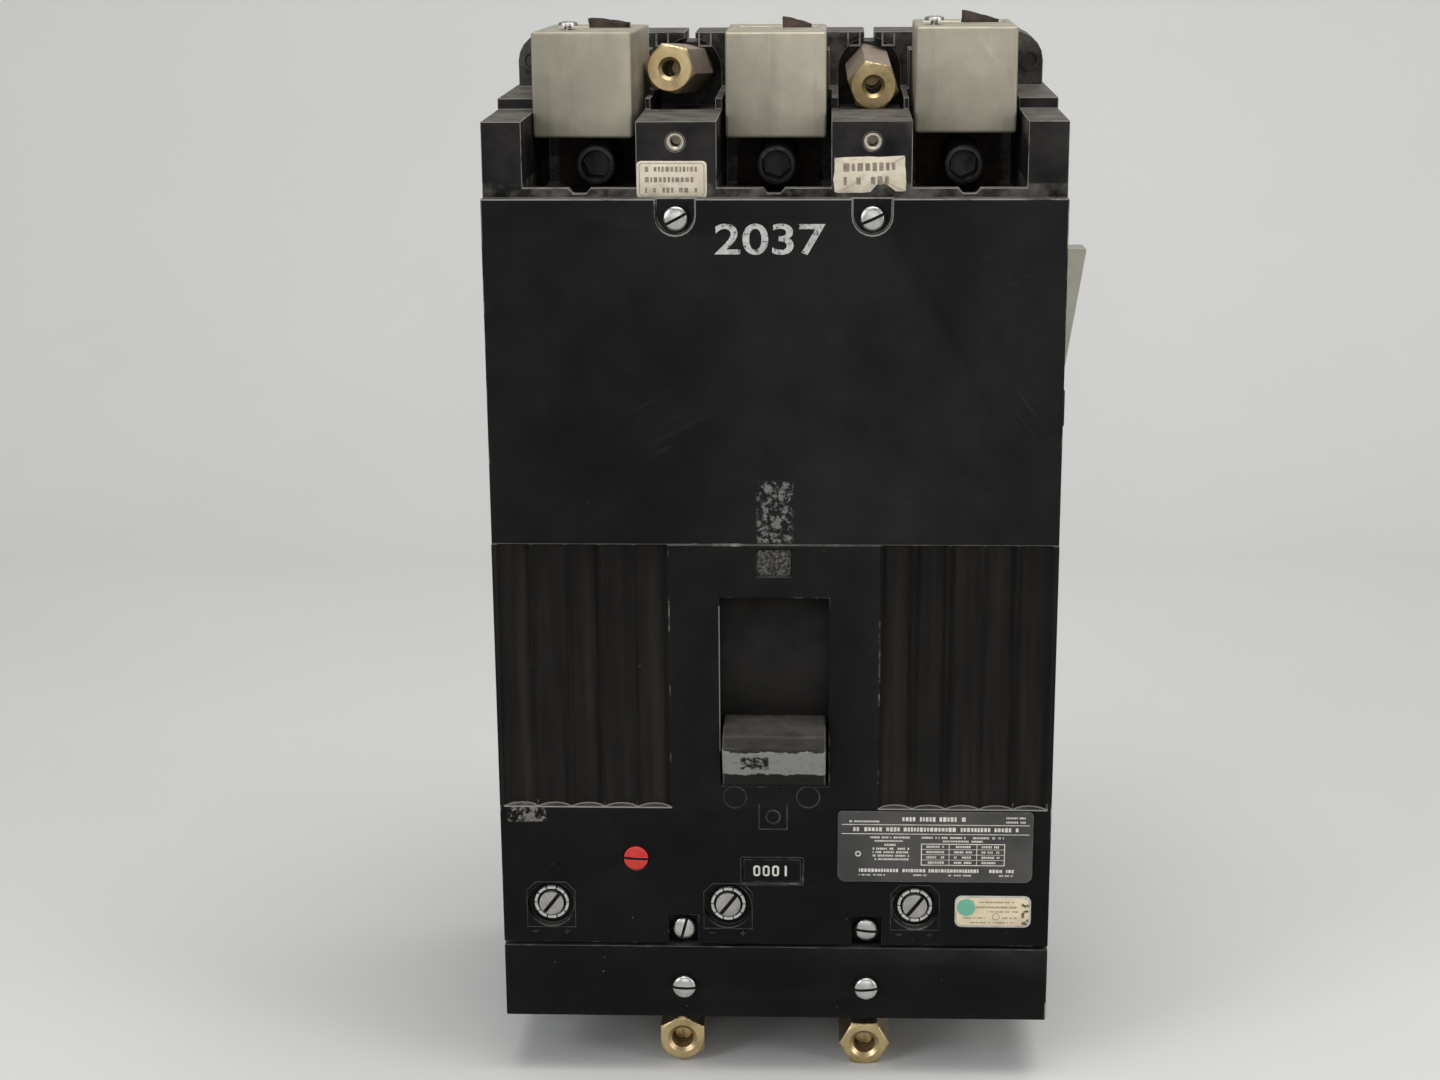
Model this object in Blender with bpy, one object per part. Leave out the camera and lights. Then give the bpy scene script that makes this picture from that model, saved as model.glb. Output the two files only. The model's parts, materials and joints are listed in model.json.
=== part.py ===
"""A three-pole 800 A moulded-case circuit breaker in its OFF position.

Frame: the origin is the centre of the flat rear mounting face. +X is right, -Y is the front
with the handle, and +Z points to the line end. Metres.
"""

import math

import bmesh
import bpy
from mathutils import Matrix, Vector

MM = 0.001
GAP = 0.3 * MM  # between two pieces that touch
SLIDE = 0.35 * MM  # round a shaft or a pin that turns
LAP = 1.0 * MM  # how far a cutter or a joined shape runs past a face

# ---- Case
POLE_PITCH = 69.85 * MM
CHANNEL_WIDTH = 41.0 * MM  # one terminal channel
SIDE_WALL = 14.45 * MM  # outside the outer channels
BASE_HEIGHT = 393.7 * MM
CASE_DEPTH = 139.7 * MM
BASE_DEPTH = 84.0 * MM  # rear face to the parting plane
FLANGE_DEPTH = 30.0 * MM  # the slab that runs past both ends
FLANGE_SETBACK = 1.6 * MM  # each side, in from the case's side
FLANGE_CORNER = 11.0 * MM
STEP_SETBACK = 20.85 * MM  # base end to the end of the stepped walls
POST_SETBACK = 24.85 * MM  # base end to the end of the front posts
COVER_PLATE = 7.6 * MM  # the cover's front wall
SHELL_WALL = 7.0 * MM
REAR_WALL = 12.5 * MM
LINE_ZONE = 26.7 * MM  # end of the posts to the cover's line end
LOAD_ZONE = 30.5 * MM
ZONE_LAP = 11.3 * MM  # how far the cover's plate laps onto the end blocks
CHANNEL_FLOOR = 6.0 * MM  # wall under a terminal channel
RIM_RISE = 3.1 * MM  # channel rim above the cover's end
RIM_WALL = 4.0 * MM
PAD_DEPTH = 43.0 * MM  # rear face to the face that a strap lies on
BARRIER = 5.0 * MM  # inner walls between the poles
END_BLOCK_BACK = 50.0 * MM
LINE_BAY_RISE = 38.0 * MM  # crossbar axis to the foot of the line barriers
LOAD_BAY_DROP = 34.0 * MM  # trip unit top to the head of the load barriers
BARRIER_SLOT = (4.0 * MM, 4.2 * MM)  # width, length, in from the line end

# ---- Front face
UPPER_FACE_DROP = 1.2 * MM  # the plain upper face lies this far behind the lower one
ESCUTCHEON_WIDTH = 77.4 * MM
FLUTE_PITCH = 12.7 * MM
FLUTE_DEPTH = 4.0 * MM
FLUTES_A_SIDE = 5
FLUTE_TOP = 18.0 * MM
FLUTE_BOTTOM = -85.4 * MM
OPENING_WIDTH = 40.7 * MM
OPENING_HEIGHT = 74.4 * MM
OPENING_CENTRE = -39.5 * MM
MARK_PAD = (13.0 * MM, 10.4 * MM, 0.8 * MM)
MARK_PAD_CENTRE = 11.1 * MM
NOTCH_RADIUS = 7.1 * MM
NOTCH_DEPTH = 5.0 * MM
NOTCH_ROUND_SETBACK = 57.45 * MM
LOWER_NOTCH = (5.6 * MM, 66.95 * MM)  # half width, and the base's end to where it ends
UPPER_NOTCH_DROP = 0.3 * MM  # the upper notches are cut this much deeper
SCREW_X = 35.2 * MM
COVER_SCREW_SETBACK = {1: 58.95 * MM, -1: 60.15 * MM}  # from the base's end, at the line and the load end
LUG_COVER_SCREW_SETBACK = 37.65 * MM
INSERT_SETBACK = 32.05 * MM
INSERT_RADIUS = 3.2 * MM
SCREW_HEAD = (4.5 * MM, 2.6 * MM)  # radius, height
SCREW_SHANK = (2.3 * MM, 15.0 * MM)
DRIVER_SLOT = (1.1 * MM, 1.1 * MM)  # width, depth
DIAL_PLACES = (-86.2 * MM, -18.0 * MM, 53.7 * MM)
DIAL_Z = -125.8 * MM
DIAL_WELL = (9.0 * MM, 3.6 * MM)  # radius, depth
DIAL_KNOB = (5.0 * MM, 2.6 * MM)
DIAL_SHAFT = 2.5 * MM
BUTTON_PLACE = (-53.1 * MM, -106.3 * MM)
BUTTON_RADIUS = 4.7 * MM
BUTTON_TRAVEL = 3.0 * MM
BUTTON_PROUD = 0.8 * MM
WINDOW = (22.6 * MM, 10.0 * MM, 1.2 * MM)
WINDOW_PLACE = (-1.0 * MM, -111.2 * MM)
NAMEPLATE = (74.1 * MM, 28.7 * MM, 0.7 * MM)
NAMEPLATE_PLACE = (61.0 * MM, -100.4 * MM)

# ---- Terminals
STRAP_CLEARANCE = 4.5 * MM  # each side, in its channel
STRAP = (CHANNEL_WIDTH - 2 * STRAP_CLEARANCE, 6.35 * MM)  # width, thickness
LUG_CLEARANCE = 1.9 * MM  # each side, in its channel
LUG = (CHANNEL_WIDTH - 2 * LUG_CLEARANCE, 48.0 * MM, 38.5 * MM)
LUG_SETBACK = 34.25 * MM  # base end to the lugs' lower faces
LUG_LIFTS = (0.2 * MM, 0.0, 1.7 * MM)  # the lugs aren't clamped at quite one height
LUG_TURNS = (-4.0, 0.0, 0.0)  # degrees about +Z: the left one stands crooked between its walls
LUG_WALL = 3.6 * MM  # each side of the slot
LUG_SLOT = (LUG[0] - 2 * LUG_WALL, 12.0 * MM, 30.0 * MM)
LUG_SLOT_BACK = 9.0 * MM  # slot to the lug's rear face
TAP_HOLE = 1.8 * MM
TAP_PLACES = {"left": -7.0 * MM, "right": -11.6 * MM}  # from the pole
TAP_DEPTH = 14.0 * MM  # behind the lug's front
TAP_SCREW_HEAD = (3.6 * MM, 1.7 * MM)
TAP_SCREW_STAND = 3.2 * MM
BOLT_SETBACK = 45.05 * MM
BOLT_SHIFTS = (2.1 * MM, 0.0, 0.0)  # from the pole, at the line end
BOLT_HEAD_RADIUS = 7.5 * MM
BOLT_FRONT = 90.0 * MM
BOLT_SOCKET = (5.3 * MM, 14.0 * MM)
BOLT_SHANK = 4.0 * MM

# ---- Mounting standoffs
HEX_FLATS = 17.2 * MM
HEX_LENGTH = 52.0 * MM
UPPER_HEX_SETBACK = 14.35 * MM
UPPER_HEX_BORE = 3.1 * MM
UPPER_HEX_LEAN = ((-5.6 * MM, 3.6 * MM), (1.0 * MM, -3.2 * MM))  # x and z, rear to front
COUNTERBORE = (12.2 * MM, 11.0 * MM)  # radius, depth
COUNTERBORE_DROP = 15.0 * MM  # its axis to its flat floor
LOWER_HEX_X = (-36.8 * MM, 34.9 * MM)
LOWER_HEX_LENGTH = 45.0 * MM
LOWER_HEX_FRONT = 130.0 * MM
STUD_RADIUS = 4.0 * MM
STUD_INSET = 7.0 * MM  # stud end behind the standoff's face

# ---- Handle and toggle, all about the handle pivot
PIVOT_DEPTH = 68.7 * MM  # behind the cover's front
SHIELD_RADIUS = 60.0 * MM
SHIELD_WALL = 3.0 * MM
SHIELD_WIDTH = 52.0 * MM
SHIELD_HALF_ANGLE = 56.0
HANDLE_WIDTH = 38.6 * MM
HANDLE_OFF = -16.0  # degrees below straight out
HANDLE_THROW = 32.0
HANDLE_REACH = 84.0 * MM
GRIP = ((4.4, 6.2), (0, 3.2), (1, -8.0), (3, -10.0))  # mm short of the reach, degrees
GRIP_ROOT = (4.3, -12.5)  # degrees, where the grip leaves the shield
YOKE_PLATE = 3.0 * MM
YOKE_INNER = 31.0 * MM  # between the two arms
TRUNNION = 4.0 * MM
FRAME_INNER = 42.0 * MM
FRAME_PLATE = 2.0 * MM
CROSSBAR = (4.0 * MM, 31.5 * MM)  # in front of and above the handle pivot
CROSSBAR_RADIUS = 9.0 * MM
CROSSBAR_JOURNAL = 5.0 * MM
CONTACT_ARM = (10.0 * MM, 8.0 * MM, 78.0 * MM)  # width, thickness, reach
CONTACT_OPEN = 24.0  # degrees
CONTACT_PAD = (14.0 * MM, 3.0 * MM, 12.0 * MM)
LEVER_REACH = 20.0 * MM
CRADLE_PIVOT = (26.0 * MM, -26.5 * MM)  # behind and above the handle pivot
CRADLE_TOP = (-17.0 * MM, -18.5 * MM)  # where the cradle link turns
CRADLE_LINK = 22.0 * MM
CROSSBAR_LINK = 29.0 * MM
PIN = 2.5 * MM
LINK_PLATE = 4.0 * MM
KNEE_SLOT = (1.2 * MM, 1.6 * MM, 0.8 * MM)  # down, up, and beside the knee pin
LATCH_PIVOT = (-25.0 * MM, -34.5 * MM)
TRIP_BAR = (-19.0 * MM, -48.5 * MM)
TRIP_BAR_RADIUS = 3.0 * MM

# ---- Trip unit and arc chutes
TRIP_UNIT_TOP = -99.5 * MM
TRIP_UNIT_DROP = 35.7 * MM  # behind the cover's front
TRIP_UNIT_BACK = 56.0 * MM
CHUTE_CLEARANCE = 4.5 * MM  # each side, between the inner walls' lines
CHUTE_WIDTH = CHANNEL_WIDTH - 2 * CHUTE_CLEARANCE
CHUTE_BOARD = 2.0 * MM
CHUTE_PLATES = 6
CHUTE_PITCH = 8.0 * MM
CHUTE_BOTTOM = 76.0 * MM
CHUTE_TOP = 124.0 * MM

# ---- Side bracket
BRACKET_TOP = 116.2 * MM
BRACKET_LENGTH = 52.0 * MM
BRACKET_REACH = 14.5 * MM
BRACKET_FOOT = 7.0 * MM  # reach at the lower end
BRACKET_SHEET = 2.0 * MM
BRACKET_FOOT_DEPTH = 24.0 * MM  # the foot runs forward of the plate
BRACKET_DEPTH = 58.0 * MM  # rear face to the bracket's tapered plate

# ---- Worked out from the sizes above
CASE_WIDTH = 2 * POLE_PITCH + CHANNEL_WIDTH + 2 * SIDE_WALL
HALF_WIDTH = CASE_WIDTH / 2
HALF_HEIGHT = BASE_HEIGHT / 2
STEP_END = HALF_HEIGHT - STEP_SETBACK
POST_END = HALF_HEIGHT - POST_SETBACK
LINE_EDGE = POST_END - LINE_ZONE  # the cover's line end
LOAD_EDGE = -(POST_END - LOAD_ZONE)
BLOCK_INNER = LINE_EDGE - ZONE_LAP  # inner face of the end blocks
COVER_SCREW_Z = {side: HALF_HEIGHT - setback for side, setback in COVER_SCREW_SETBACK.items()}
LUG_COVER_SCREW_Z = LUG_COVER_SCREW_SETBACK - HALF_HEIGHT
INSERT_Z = HALF_HEIGHT - INSERT_SETBACK
NOTCH_ROUND_Z = HALF_HEIGHT - NOTCH_ROUND_SETBACK
LUG_BOTTOM = HALF_HEIGHT - LUG_SETBACK
BOLT_Z = HALF_HEIGHT - BOLT_SETBACK
UPPER_HEX_Z = HALF_HEIGHT - UPPER_HEX_SETBACK
FRONT = -CASE_DEPTH
TRIP_UNIT_FRONT = CASE_DEPTH - TRIP_UNIT_DROP
PLATE_BACK = FRONT + COVER_PLATE
POST_FRONT = PLATE_BACK + GAP
POLES = (-POLE_PITCH, 0.0, POLE_PITCH)
POLE_NAMES = ("left", "middle", "right")
PIVOT = Vector((0, FRONT + PIVOT_DEPTH, OPENING_CENTRE))
CROSSBAR_AXIS = PIVOT + Vector((0, CROSSBAR[0], CROSSBAR[1]))
STRAP_BACK = -PAD_DEPTH - GAP
STRAP_FRONT = STRAP_BACK - STRAP[1]
LUG_BACK = STRAP_FRONT - GAP
LUG_FRONT = LUG_BACK - LUG[1]
CONTACT_Z = CROSSBAR_AXIS.z + CONTACT_ARM[2] - CONTACT_PAD[2] / 2

LOOKS = {
    "black_phenolic": ((0.018, 0.018, 0.019), 0.42, 0.0),
    "tin_plate": ((0.47, 0.46, 0.42), 0.45, 0.8),
    "brass": ((0.66, 0.50, 0.23), 0.32, 1.0),
    "zinc": ((0.62, 0.62, 0.61), 0.30, 1.0),
    "black_steel": ((0.03, 0.03, 0.03), 0.45, 0.7),
    "steel": ((0.35, 0.35, 0.36), 0.40, 1.0),
    "copper": ((0.55, 0.27, 0.16), 0.35, 1.0),
    "red_plastic": ((0.65, 0.03, 0.02), 0.38, 0.0),
    "grey_paint": ((0.34, 0.36, 0.31), 0.50, 0.2),
    "fibre_board": ((0.42, 0.30, 0.20), 0.70, 0.0),
    "printed_metal": ((0.33, 0.33, 0.32), 0.40, 0.5),
}


# ---- Scene and materials
def clear_scene():
    for obj in list(bpy.data.objects):
        bpy.data.objects.remove(obj, do_unlink=True)


def new_collection(name):
    collection = bpy.data.collections.new(name)
    bpy.context.scene.collection.children.link(collection)
    return collection


def make_material(name):
    colour, roughness, metallic = LOOKS[name]
    material = bpy.data.materials.new(name)
    material.use_nodes = True
    shader = material.node_tree.nodes["Principled BSDF"]
    shader.inputs["Base Color"].default_value = (*colour, 1)
    shader.inputs["Roughness"].default_value = roughness
    shader.inputs["Metallic"].default_value = metallic
    return material


clear_scene()
parts = new_collection("moulded_case_circuit_breaker")
cutters = new_collection("cutters")
cutters.hide_render = True
materials = {name: make_material(name) for name in LOOKS}


# ---- Shapes, each left in the cutters' collection until finish() takes it out
def helper(name, mesh):
    obj = bpy.data.objects.new(name, mesh)
    obj.hide_render = True
    obj.display_type = "WIRE"
    cutters.objects.link(obj)
    return obj


def box(name, low, high):
    low, high = Vector(low), Vector(high)
    solid = bmesh.new()
    bmesh.ops.create_cube(solid, size=1.0)
    size = Matrix.Diagonal((*(high - low), 1))
    solid.transform(Matrix.Translation((low + high) / 2) @ size)
    mesh = bpy.data.meshes.new(name)
    solid.to_mesh(mesh)
    solid.free()
    return helper(name, mesh)


def rod(name, start, end, radius, sides=20, spin=0.0):
    """A cylinder or, with 6 sides, a hexagonal bar. spin turns it about its own axis, in degrees."""
    start, end = Vector(start), Vector(end)
    along = end - start
    solid = bmesh.new()
    bmesh.ops.create_cone(
        solid, cap_ends=True, segments=sides, radius1=radius, radius2=radius, depth=along.length
    )
    turn = along.to_track_quat("Z", "Y").to_matrix().to_4x4() @ Matrix.Rotation(math.radians(spin), 4, "Z")
    solid.transform(Matrix.Translation((start + end) / 2) @ turn)
    mesh = bpy.data.meshes.new(name)
    solid.to_mesh(mesh)
    solid.free()
    mesh.shade_smooth()
    mesh.set_sharp_from_angle(angle=math.radians(40))
    return helper(name, mesh)


def arc(centre, radius, start, end, steps):
    """Points on an arc, in degrees, both ends included."""
    turns = [math.radians(start + (end - start) * i / steps) for i in range(steps + 1)]
    return [(centre[0] + radius * math.cos(t), centre[1] + radius * math.sin(t)) for t in turns]


def mesh_of_curve(curve_object, place):
    """The curve's closed solid as a mesh, moved by place."""
    bpy.context.scene.collection.objects.link(curve_object)
    graph = bpy.context.evaluated_depsgraph_get()
    mesh = bpy.data.meshes.new_from_object(curve_object.evaluated_get(graph))
    solid = bmesh.new()
    solid.from_mesh(mesh)
    bmesh.ops.remove_doubles(solid, verts=solid.verts, dist=1e-6)
    bmesh.ops.recalc_face_normals(solid, faces=solid.faces)
    solid.transform(place)
    solid.to_mesh(mesh)
    solid.free()
    mesh.name = curve_object.name
    bpy.data.objects.remove(curve_object, do_unlink=True)
    return mesh


def plate(name, outline, axis, low, high):
    """A flat outline extruded along axis from low to high: Y,Z points for X, X,Z for Y, X,Y for Z."""
    curve = bpy.data.curves.new(name, "CURVE")
    curve.dimensions = "2D"
    curve.fill_mode = "BOTH"
    curve.extrude = (high - low) / 2
    spline = curve.splines.new("POLY")
    spline.points.add(len(outline) - 1)
    for point, (u, v) in zip(spline.points, outline):
        point.co = (u, v, 0, 1)
    spline.use_cyclic_u = True
    middle = (low + high) / 2
    if axis == "X":
        turn, shift = Matrix(((0, 0, 1, 0), (1, 0, 0, 0), (0, 1, 0, 0), (0, 0, 0, 1))), (middle, 0, 0)
    elif axis == "Y":
        turn, shift = Matrix.Rotation(math.radians(90), 4, "X"), (0, middle, 0)
    else:
        turn, shift = Matrix.Identity(4), (0, 0, middle)
    place = Matrix.Translation(shift) @ turn
    return helper(name, mesh_of_curve(bpy.data.objects.new(name, curve), place))


def coil(name, start, end, radius, wire, turns):
    """A round-wire spring from start to end, its points worked out along the helix."""
    start, end = Vector(start), Vector(end)
    along = end - start
    frame = along.to_track_quat("Z", "Y").to_matrix().to_4x4()
    steps = 8 * turns
    curve = bpy.data.curves.new(name, "CURVE")
    curve.dimensions = "3D"
    curve.bevel_depth = wire / 2
    curve.bevel_resolution = 1
    curve.use_fill_caps = True
    spline = curve.splines.new("POLY")
    spline.points.add(steps)
    for i, point in enumerate(spline.points):
        angle = 2 * math.pi * turns * i / steps
        height = wire / 2 + (along.length - wire) * i / steps
        point.co = (radius * math.cos(angle), radius * math.sin(angle), height, 1)
    place = Matrix.Translation(start) @ frame
    return helper(name, mesh_of_curve(bpy.data.objects.new(name, curve), place))


def combine(obj, other, operation):
    modifier = obj.modifiers.new(other.name, "BOOLEAN")
    modifier.operation = operation
    modifier.object = other
    modifier.solver = "EXACT"


def cut(obj, *tools):
    for tool in tools:
        combine(obj, tool, "DIFFERENCE")


def join(obj, *others):
    for other in others:
        combine(obj, other, "UNION")


def hang(obj, pivot, turn=0.0):
    """Puts the origin of obj and of its helpers on a joint's axis and turns them about +X, in degrees."""
    helpers = [modifier.object for modifier in obj.modifiers if modifier.type == "BOOLEAN"]
    for piece in [obj, *helpers]:
        piece.data.transform(Matrix.Translation(-Vector(pivot)))
        piece.location = pivot
        piece.rotation_euler.x = math.radians(turn)


def shift_with_helpers(obj, place):
    """Moves the mesh of obj and of its helpers."""
    helpers = [modifier.object for modifier in obj.modifiers if modifier.type == "BOOLEAN"]
    for piece in [obj, *helpers]:
        piece.data.transform(place)


def finish(obj, look):
    cutters.objects.unlink(obj)
    parts.objects.link(obj)
    obj.hide_render = False
    obj.display_type = "TEXTURED"
    obj.data.materials.append(materials[look])
    return obj


# ---- Case
def channel_tools(side):
    """What each end of the base loses: three open channels, strap slots, bolt, screw and insert holes."""
    tools = []
    floor = BLOCK_INNER + CHANNEL_FLOOR
    rim = LINE_EDGE + RIM_RISE
    for name, pole, shift in zip(POLE_NAMES, POLES, BOLT_SHIFTS):
        left, right = pole - CHANNEL_WIDTH / 2, pole + CHANNEL_WIDTH / 2
        label = f"{name}_{'line' if side > 0 else 'load'}"
        inner, outer = sorted((side * floor, side * (STEP_END + LAP)))
        tools.append(
            box(f"channel_{label}", (left, POST_FRONT + RIM_WALL, inner), (right, -PAD_DEPTH, outer))
        )
        inner, outer = sorted((side * rim, side * (STEP_END + LAP)))
        mouth_back = POST_FRONT + RIM_WALL + LAP
        tools.append(box(f"mouth_{label}", (left, POST_FRONT - LAP, inner), (right, mouth_back, outer)))
        notch = [(-4.8, 1.0), (-2.3, -2.0), (2.3, -2.0), (4.8, 1.0)]
        outline = [(pole + u * MM, side * (rim + v * MM)) for u, v in notch]
        tools.append(plate(f"dip_{label}", outline, "Y", POST_FRONT - LAP, mouth_back))
        inner, outer = sorted((side * (BLOCK_INNER - LAP), side * (floor + LAP)))
        half = STRAP[0] / 2 + 0.5 * MM
        tools.append(
            box(
                f"strap_slot_{label}",
                (pole - half, STRAP_FRONT - 0.5 * MM, inner),
                (pole + half, -PAD_DEPTH, outer),
            )
        )
        x = pole + (shift if side > 0 else 0)
        start, end = (x, -PAD_DEPTH - LAP, side * BOLT_Z), (x, -14 * MM, side * BOLT_Z)
        tools.append(rod(f"bolt_hole_{label}", start, end, BOLT_SHANK + GAP))
    insert_z = INSERT_Z if side > 0 else LUG_COVER_SCREW_Z
    insert_radius = INSERT_RADIUS + GAP if side > 0 else SCREW_SHANK[0] + GAP
    for x in (-SCREW_X, SCREW_X):
        for z, radius in ((side * COVER_SCREW_Z[side], SCREW_SHANK[0] + GAP), (insert_z, insert_radius)):
            start, end = (x, POST_FRONT - LAP, z), (x, POST_FRONT + 17 * MM, z)
            tools.append(rod("screw_hole", start, end, radius, 16))
    return tools


def cavity_tools():
    """The inside of the base: one open middle, and three bays at each end between barrier walls."""
    inner_x = HALF_WIDTH - SHELL_WALL
    front, back = -BASE_DEPTH - LAP, -REAR_WALL
    bay_line = CROSSBAR_AXIS.z + LINE_BAY_RISE
    bay_load = TRIP_UNIT_TOP - LOAD_BAY_DROP
    tools = [box("middle_bay", (-inner_x, front, bay_load), (inner_x, back, bay_line))]
    edges = [-inner_x]
    for wall in (-POLE_PITCH / 2, POLE_PITCH / 2):
        edges += [wall - BARRIER / 2, wall + BARRIER / 2]
    edges.append(inner_x)
    for left, right in zip(edges[::2], edges[1::2]):
        tools.append(box("line_bay", (left, front, bay_line - LAP), (right, back, BLOCK_INNER)))
        low_end = (left, STRAP_FRONT - 4 * MM, -BLOCK_INNER)
        tools.append(box("load_bay", low_end, (right, back, bay_load + LAP)))
    tools.append(
        box("trip_bay", (-inner_x, front, -BLOCK_INNER), (inner_x, STRAP_FRONT - 3 * MM, bay_load + LAP))
    )
    slot = CROSSBAR_JOURNAL + SLIDE
    for side in (-1, 1):
        ends = sorted((side * (inner_x - LAP), side * (inner_x + 2.6 * MM)))
        outline = arc((CROSSBAR_AXIS.y, CROSSBAR_AXIS.z), slot, 90, -90, 8)
        outline += [(front, CROSSBAR_AXIS.z - slot), (front, CROSSBAR_AXIS.z + slot)]
        tools.append(plate("journal_slot", outline, "X", *ends))
    return tools


def flange_outline():
    half, high, radius = HALF_WIDTH - FLANGE_SETBACK, HALF_HEIGHT, FLANGE_CORNER
    points = []
    for x, z, start in ((1, 1, 0), (-1, 1, 90), (-1, -1, 180), (1, -1, 270)):
        centre = (x * (half - radius), z * (high - radius))
        points += arc(centre, radius, start, start + 90, 5)
    return points


def make_base():
    base = plate("base_case", flange_outline(), "Y", -FLANGE_DEPTH, 0)
    join(base, box("walls", (-HALF_WIDTH, -BASE_DEPTH, -STEP_END), (HALF_WIDTH, 0, STEP_END)))
    for side in (-1, 1):
        inner, outer = sorted((side * BLOCK_INNER, side * POST_END))
        join(base, box("end_block", (-HALF_WIDTH, POST_FRONT, inner), (HALF_WIDTH, -END_BLOCK_BACK, outer)))
    cut(base, *channel_tools(1), *channel_tools(-1), *cavity_tools())
    for side in (-1, 1):
        for pole in POLES:
            inner, outer = sorted((side * (STEP_END - 6 * MM), side * (HALF_HEIGHT - 6 * MM)))
            half = CHANNEL_WIDTH / 2 - LAP
            join(base, box("strap_pad", (pole - half, -PAD_DEPTH, inner), (pole + half, -20 * MM, outer)))
    radius, depth = COUNTERBORE
    for x in (-SCREW_X, SCREW_X):
        for side in (-1, 1):
            outline = arc((x, side * UPPER_HEX_Z), radius, 0, 180 * side, 10)
            floor = side * (UPPER_HEX_Z - COUNTERBORE_DROP)
            outline += [(x - radius, floor), (x + radius, floor)]
            cut(base, plate("counterbore", outline, "Y", -BASE_DEPTH - LAP, -FLANGE_DEPTH + depth))
        half, length = BARRIER_SLOT[0] / 2, BARRIER_SLOT[1]
        low = (x - half, -FLANGE_DEPTH - LAP, HALF_HEIGHT - length)
        cut(base, box("barrier_slot", low, (x + half, LAP, HALF_HEIGHT + LAP)))
        hole = (x, -FLANGE_DEPTH, UPPER_HEX_Z), (x, LAP, UPPER_HEX_Z)
        cut(base, rod("mounting_hole", *hole, STUD_RADIUS + GAP, 16))
    finish(base, "black_phenolic")


def flute_tool(side):
    """Five round grooves side by side, cut down the cover's front."""
    width = FLUTE_PITCH / 2
    radius = (width**2 + FLUTE_DEPTH**2) / (2 * FLUTE_DEPTH)
    half_turn = math.degrees(math.asin(width / radius))
    start = ESCUTCHEON_WIDTH / 2 + 0.6 * MM
    outline = []
    for i in range(FLUTES_A_SIDE):
        centre = (start + (i + 0.5) * FLUTE_PITCH, FRONT + FLUTE_DEPTH - radius)
        outline += arc(centre, radius, 90 + half_turn, 90 - half_turn, 6)[(i > 0) :]
    outline += [(outline[-1][0], FRONT - 2 * MM), (outline[0][0], FRONT - 2 * MM)]
    outline = [(side * u, v) for u, v in outline]
    return plate("flutes", outline, "Z", FLUTE_BOTTOM, FLUTE_TOP)


def make_cover():
    inner_x = HALF_WIDTH - SHELL_WALL
    parting = -BASE_DEPTH - GAP
    cover = box("front_cover", (-HALF_WIDTH, FRONT, LOAD_EDGE), (HALF_WIDTH, parting, LINE_EDGE))
    lap = BLOCK_INNER - GAP
    cut(
        cover,
        box("inside", (-inner_x, PLATE_BACK, LOAD_EDGE - LAP), (inner_x, 0, LINE_EDGE + LAP)),
        box("line_lap", (-1, PLATE_BACK, lap), (1, 0, 1)),
        box("load_lap", (-1, PLATE_BACK, -1), (1, 0, -lap)),
        box("upper_face", (-1, -1, FLUTE_TOP), (1, FRONT + UPPER_FACE_DROP, 1)),
        flute_tool(1),
        flute_tool(-1),
        box(
            "handle_opening",
            (-OPENING_WIDTH / 2, -1, OPENING_CENTRE - OPENING_HEIGHT / 2),
            (OPENING_WIDTH / 2, -100 * MM, OPENING_CENTRE + OPENING_HEIGHT / 2),
        ),
    )
    wide, high, deep = MARK_PAD
    low = (-wide / 2, -1, MARK_PAD_CENTRE - high / 2)
    cut(cover, box("on_mark_pad", low, (wide / 2, FRONT + deep, MARK_PAD_CENTRE + high / 2)))
    wide, high, deep = WINDOW
    x, z = WINDOW_PLACE
    cut(cover, box("window", (x - wide / 2, -1, z - high / 2), (x + wide / 2, FRONT + deep, z + high / 2)))
    for x in (-SCREW_X, SCREW_X):
        for side in (-1, 1):
            if side > 0:
                outline = arc((x, NOTCH_ROUND_Z), NOTCH_RADIUS, 0, -180, 10)
                outline += [(x - NOTCH_RADIUS, LINE_EDGE + LAP), (x + NOTCH_RADIUS, LINE_EDGE + LAP)]
                floor = FRONT + NOTCH_DEPTH + UPPER_NOTCH_DROP
                cut(cover, plate("screw_notch", outline, "Y", FRONT - LAP, floor))
            else:
                half, end = LOWER_NOTCH[0], HALF_HEIGHT - LOWER_NOTCH[1]
                high = (x + half, FRONT + NOTCH_DEPTH, -end)
                cut(cover, box("screw_notch", (x - half, FRONT - LAP, LOAD_EDGE - LAP), high))
            z = side * COVER_SCREW_Z[side]
            hole = (x, FRONT, z), (x, PLATE_BACK + LAP, z)
            cut(cover, rod("screw_hole", *hole, SCREW_SHANK[0] + GAP, 16))
    for x in DIAL_PLACES:
        radius, depth = DIAL_WELL
        cut(cover, rod("dial_well", (x, FRONT - LAP, DIAL_Z), (x, FRONT + depth, DIAL_Z), radius, 24))
        hole = (x, FRONT, DIAL_Z), (x, PLATE_BACK + LAP, DIAL_Z)
        cut(cover, rod("dial_hole", *hole, DIAL_SHAFT + SLIDE, 16))
    x, z = BUTTON_PLACE
    cut(cover, rod("button_hole", (x, FRONT - LAP, z), (x, PLATE_BACK + LAP, z), BUTTON_RADIUS + SLIDE))
    finish(cover, "black_phenolic")


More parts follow.
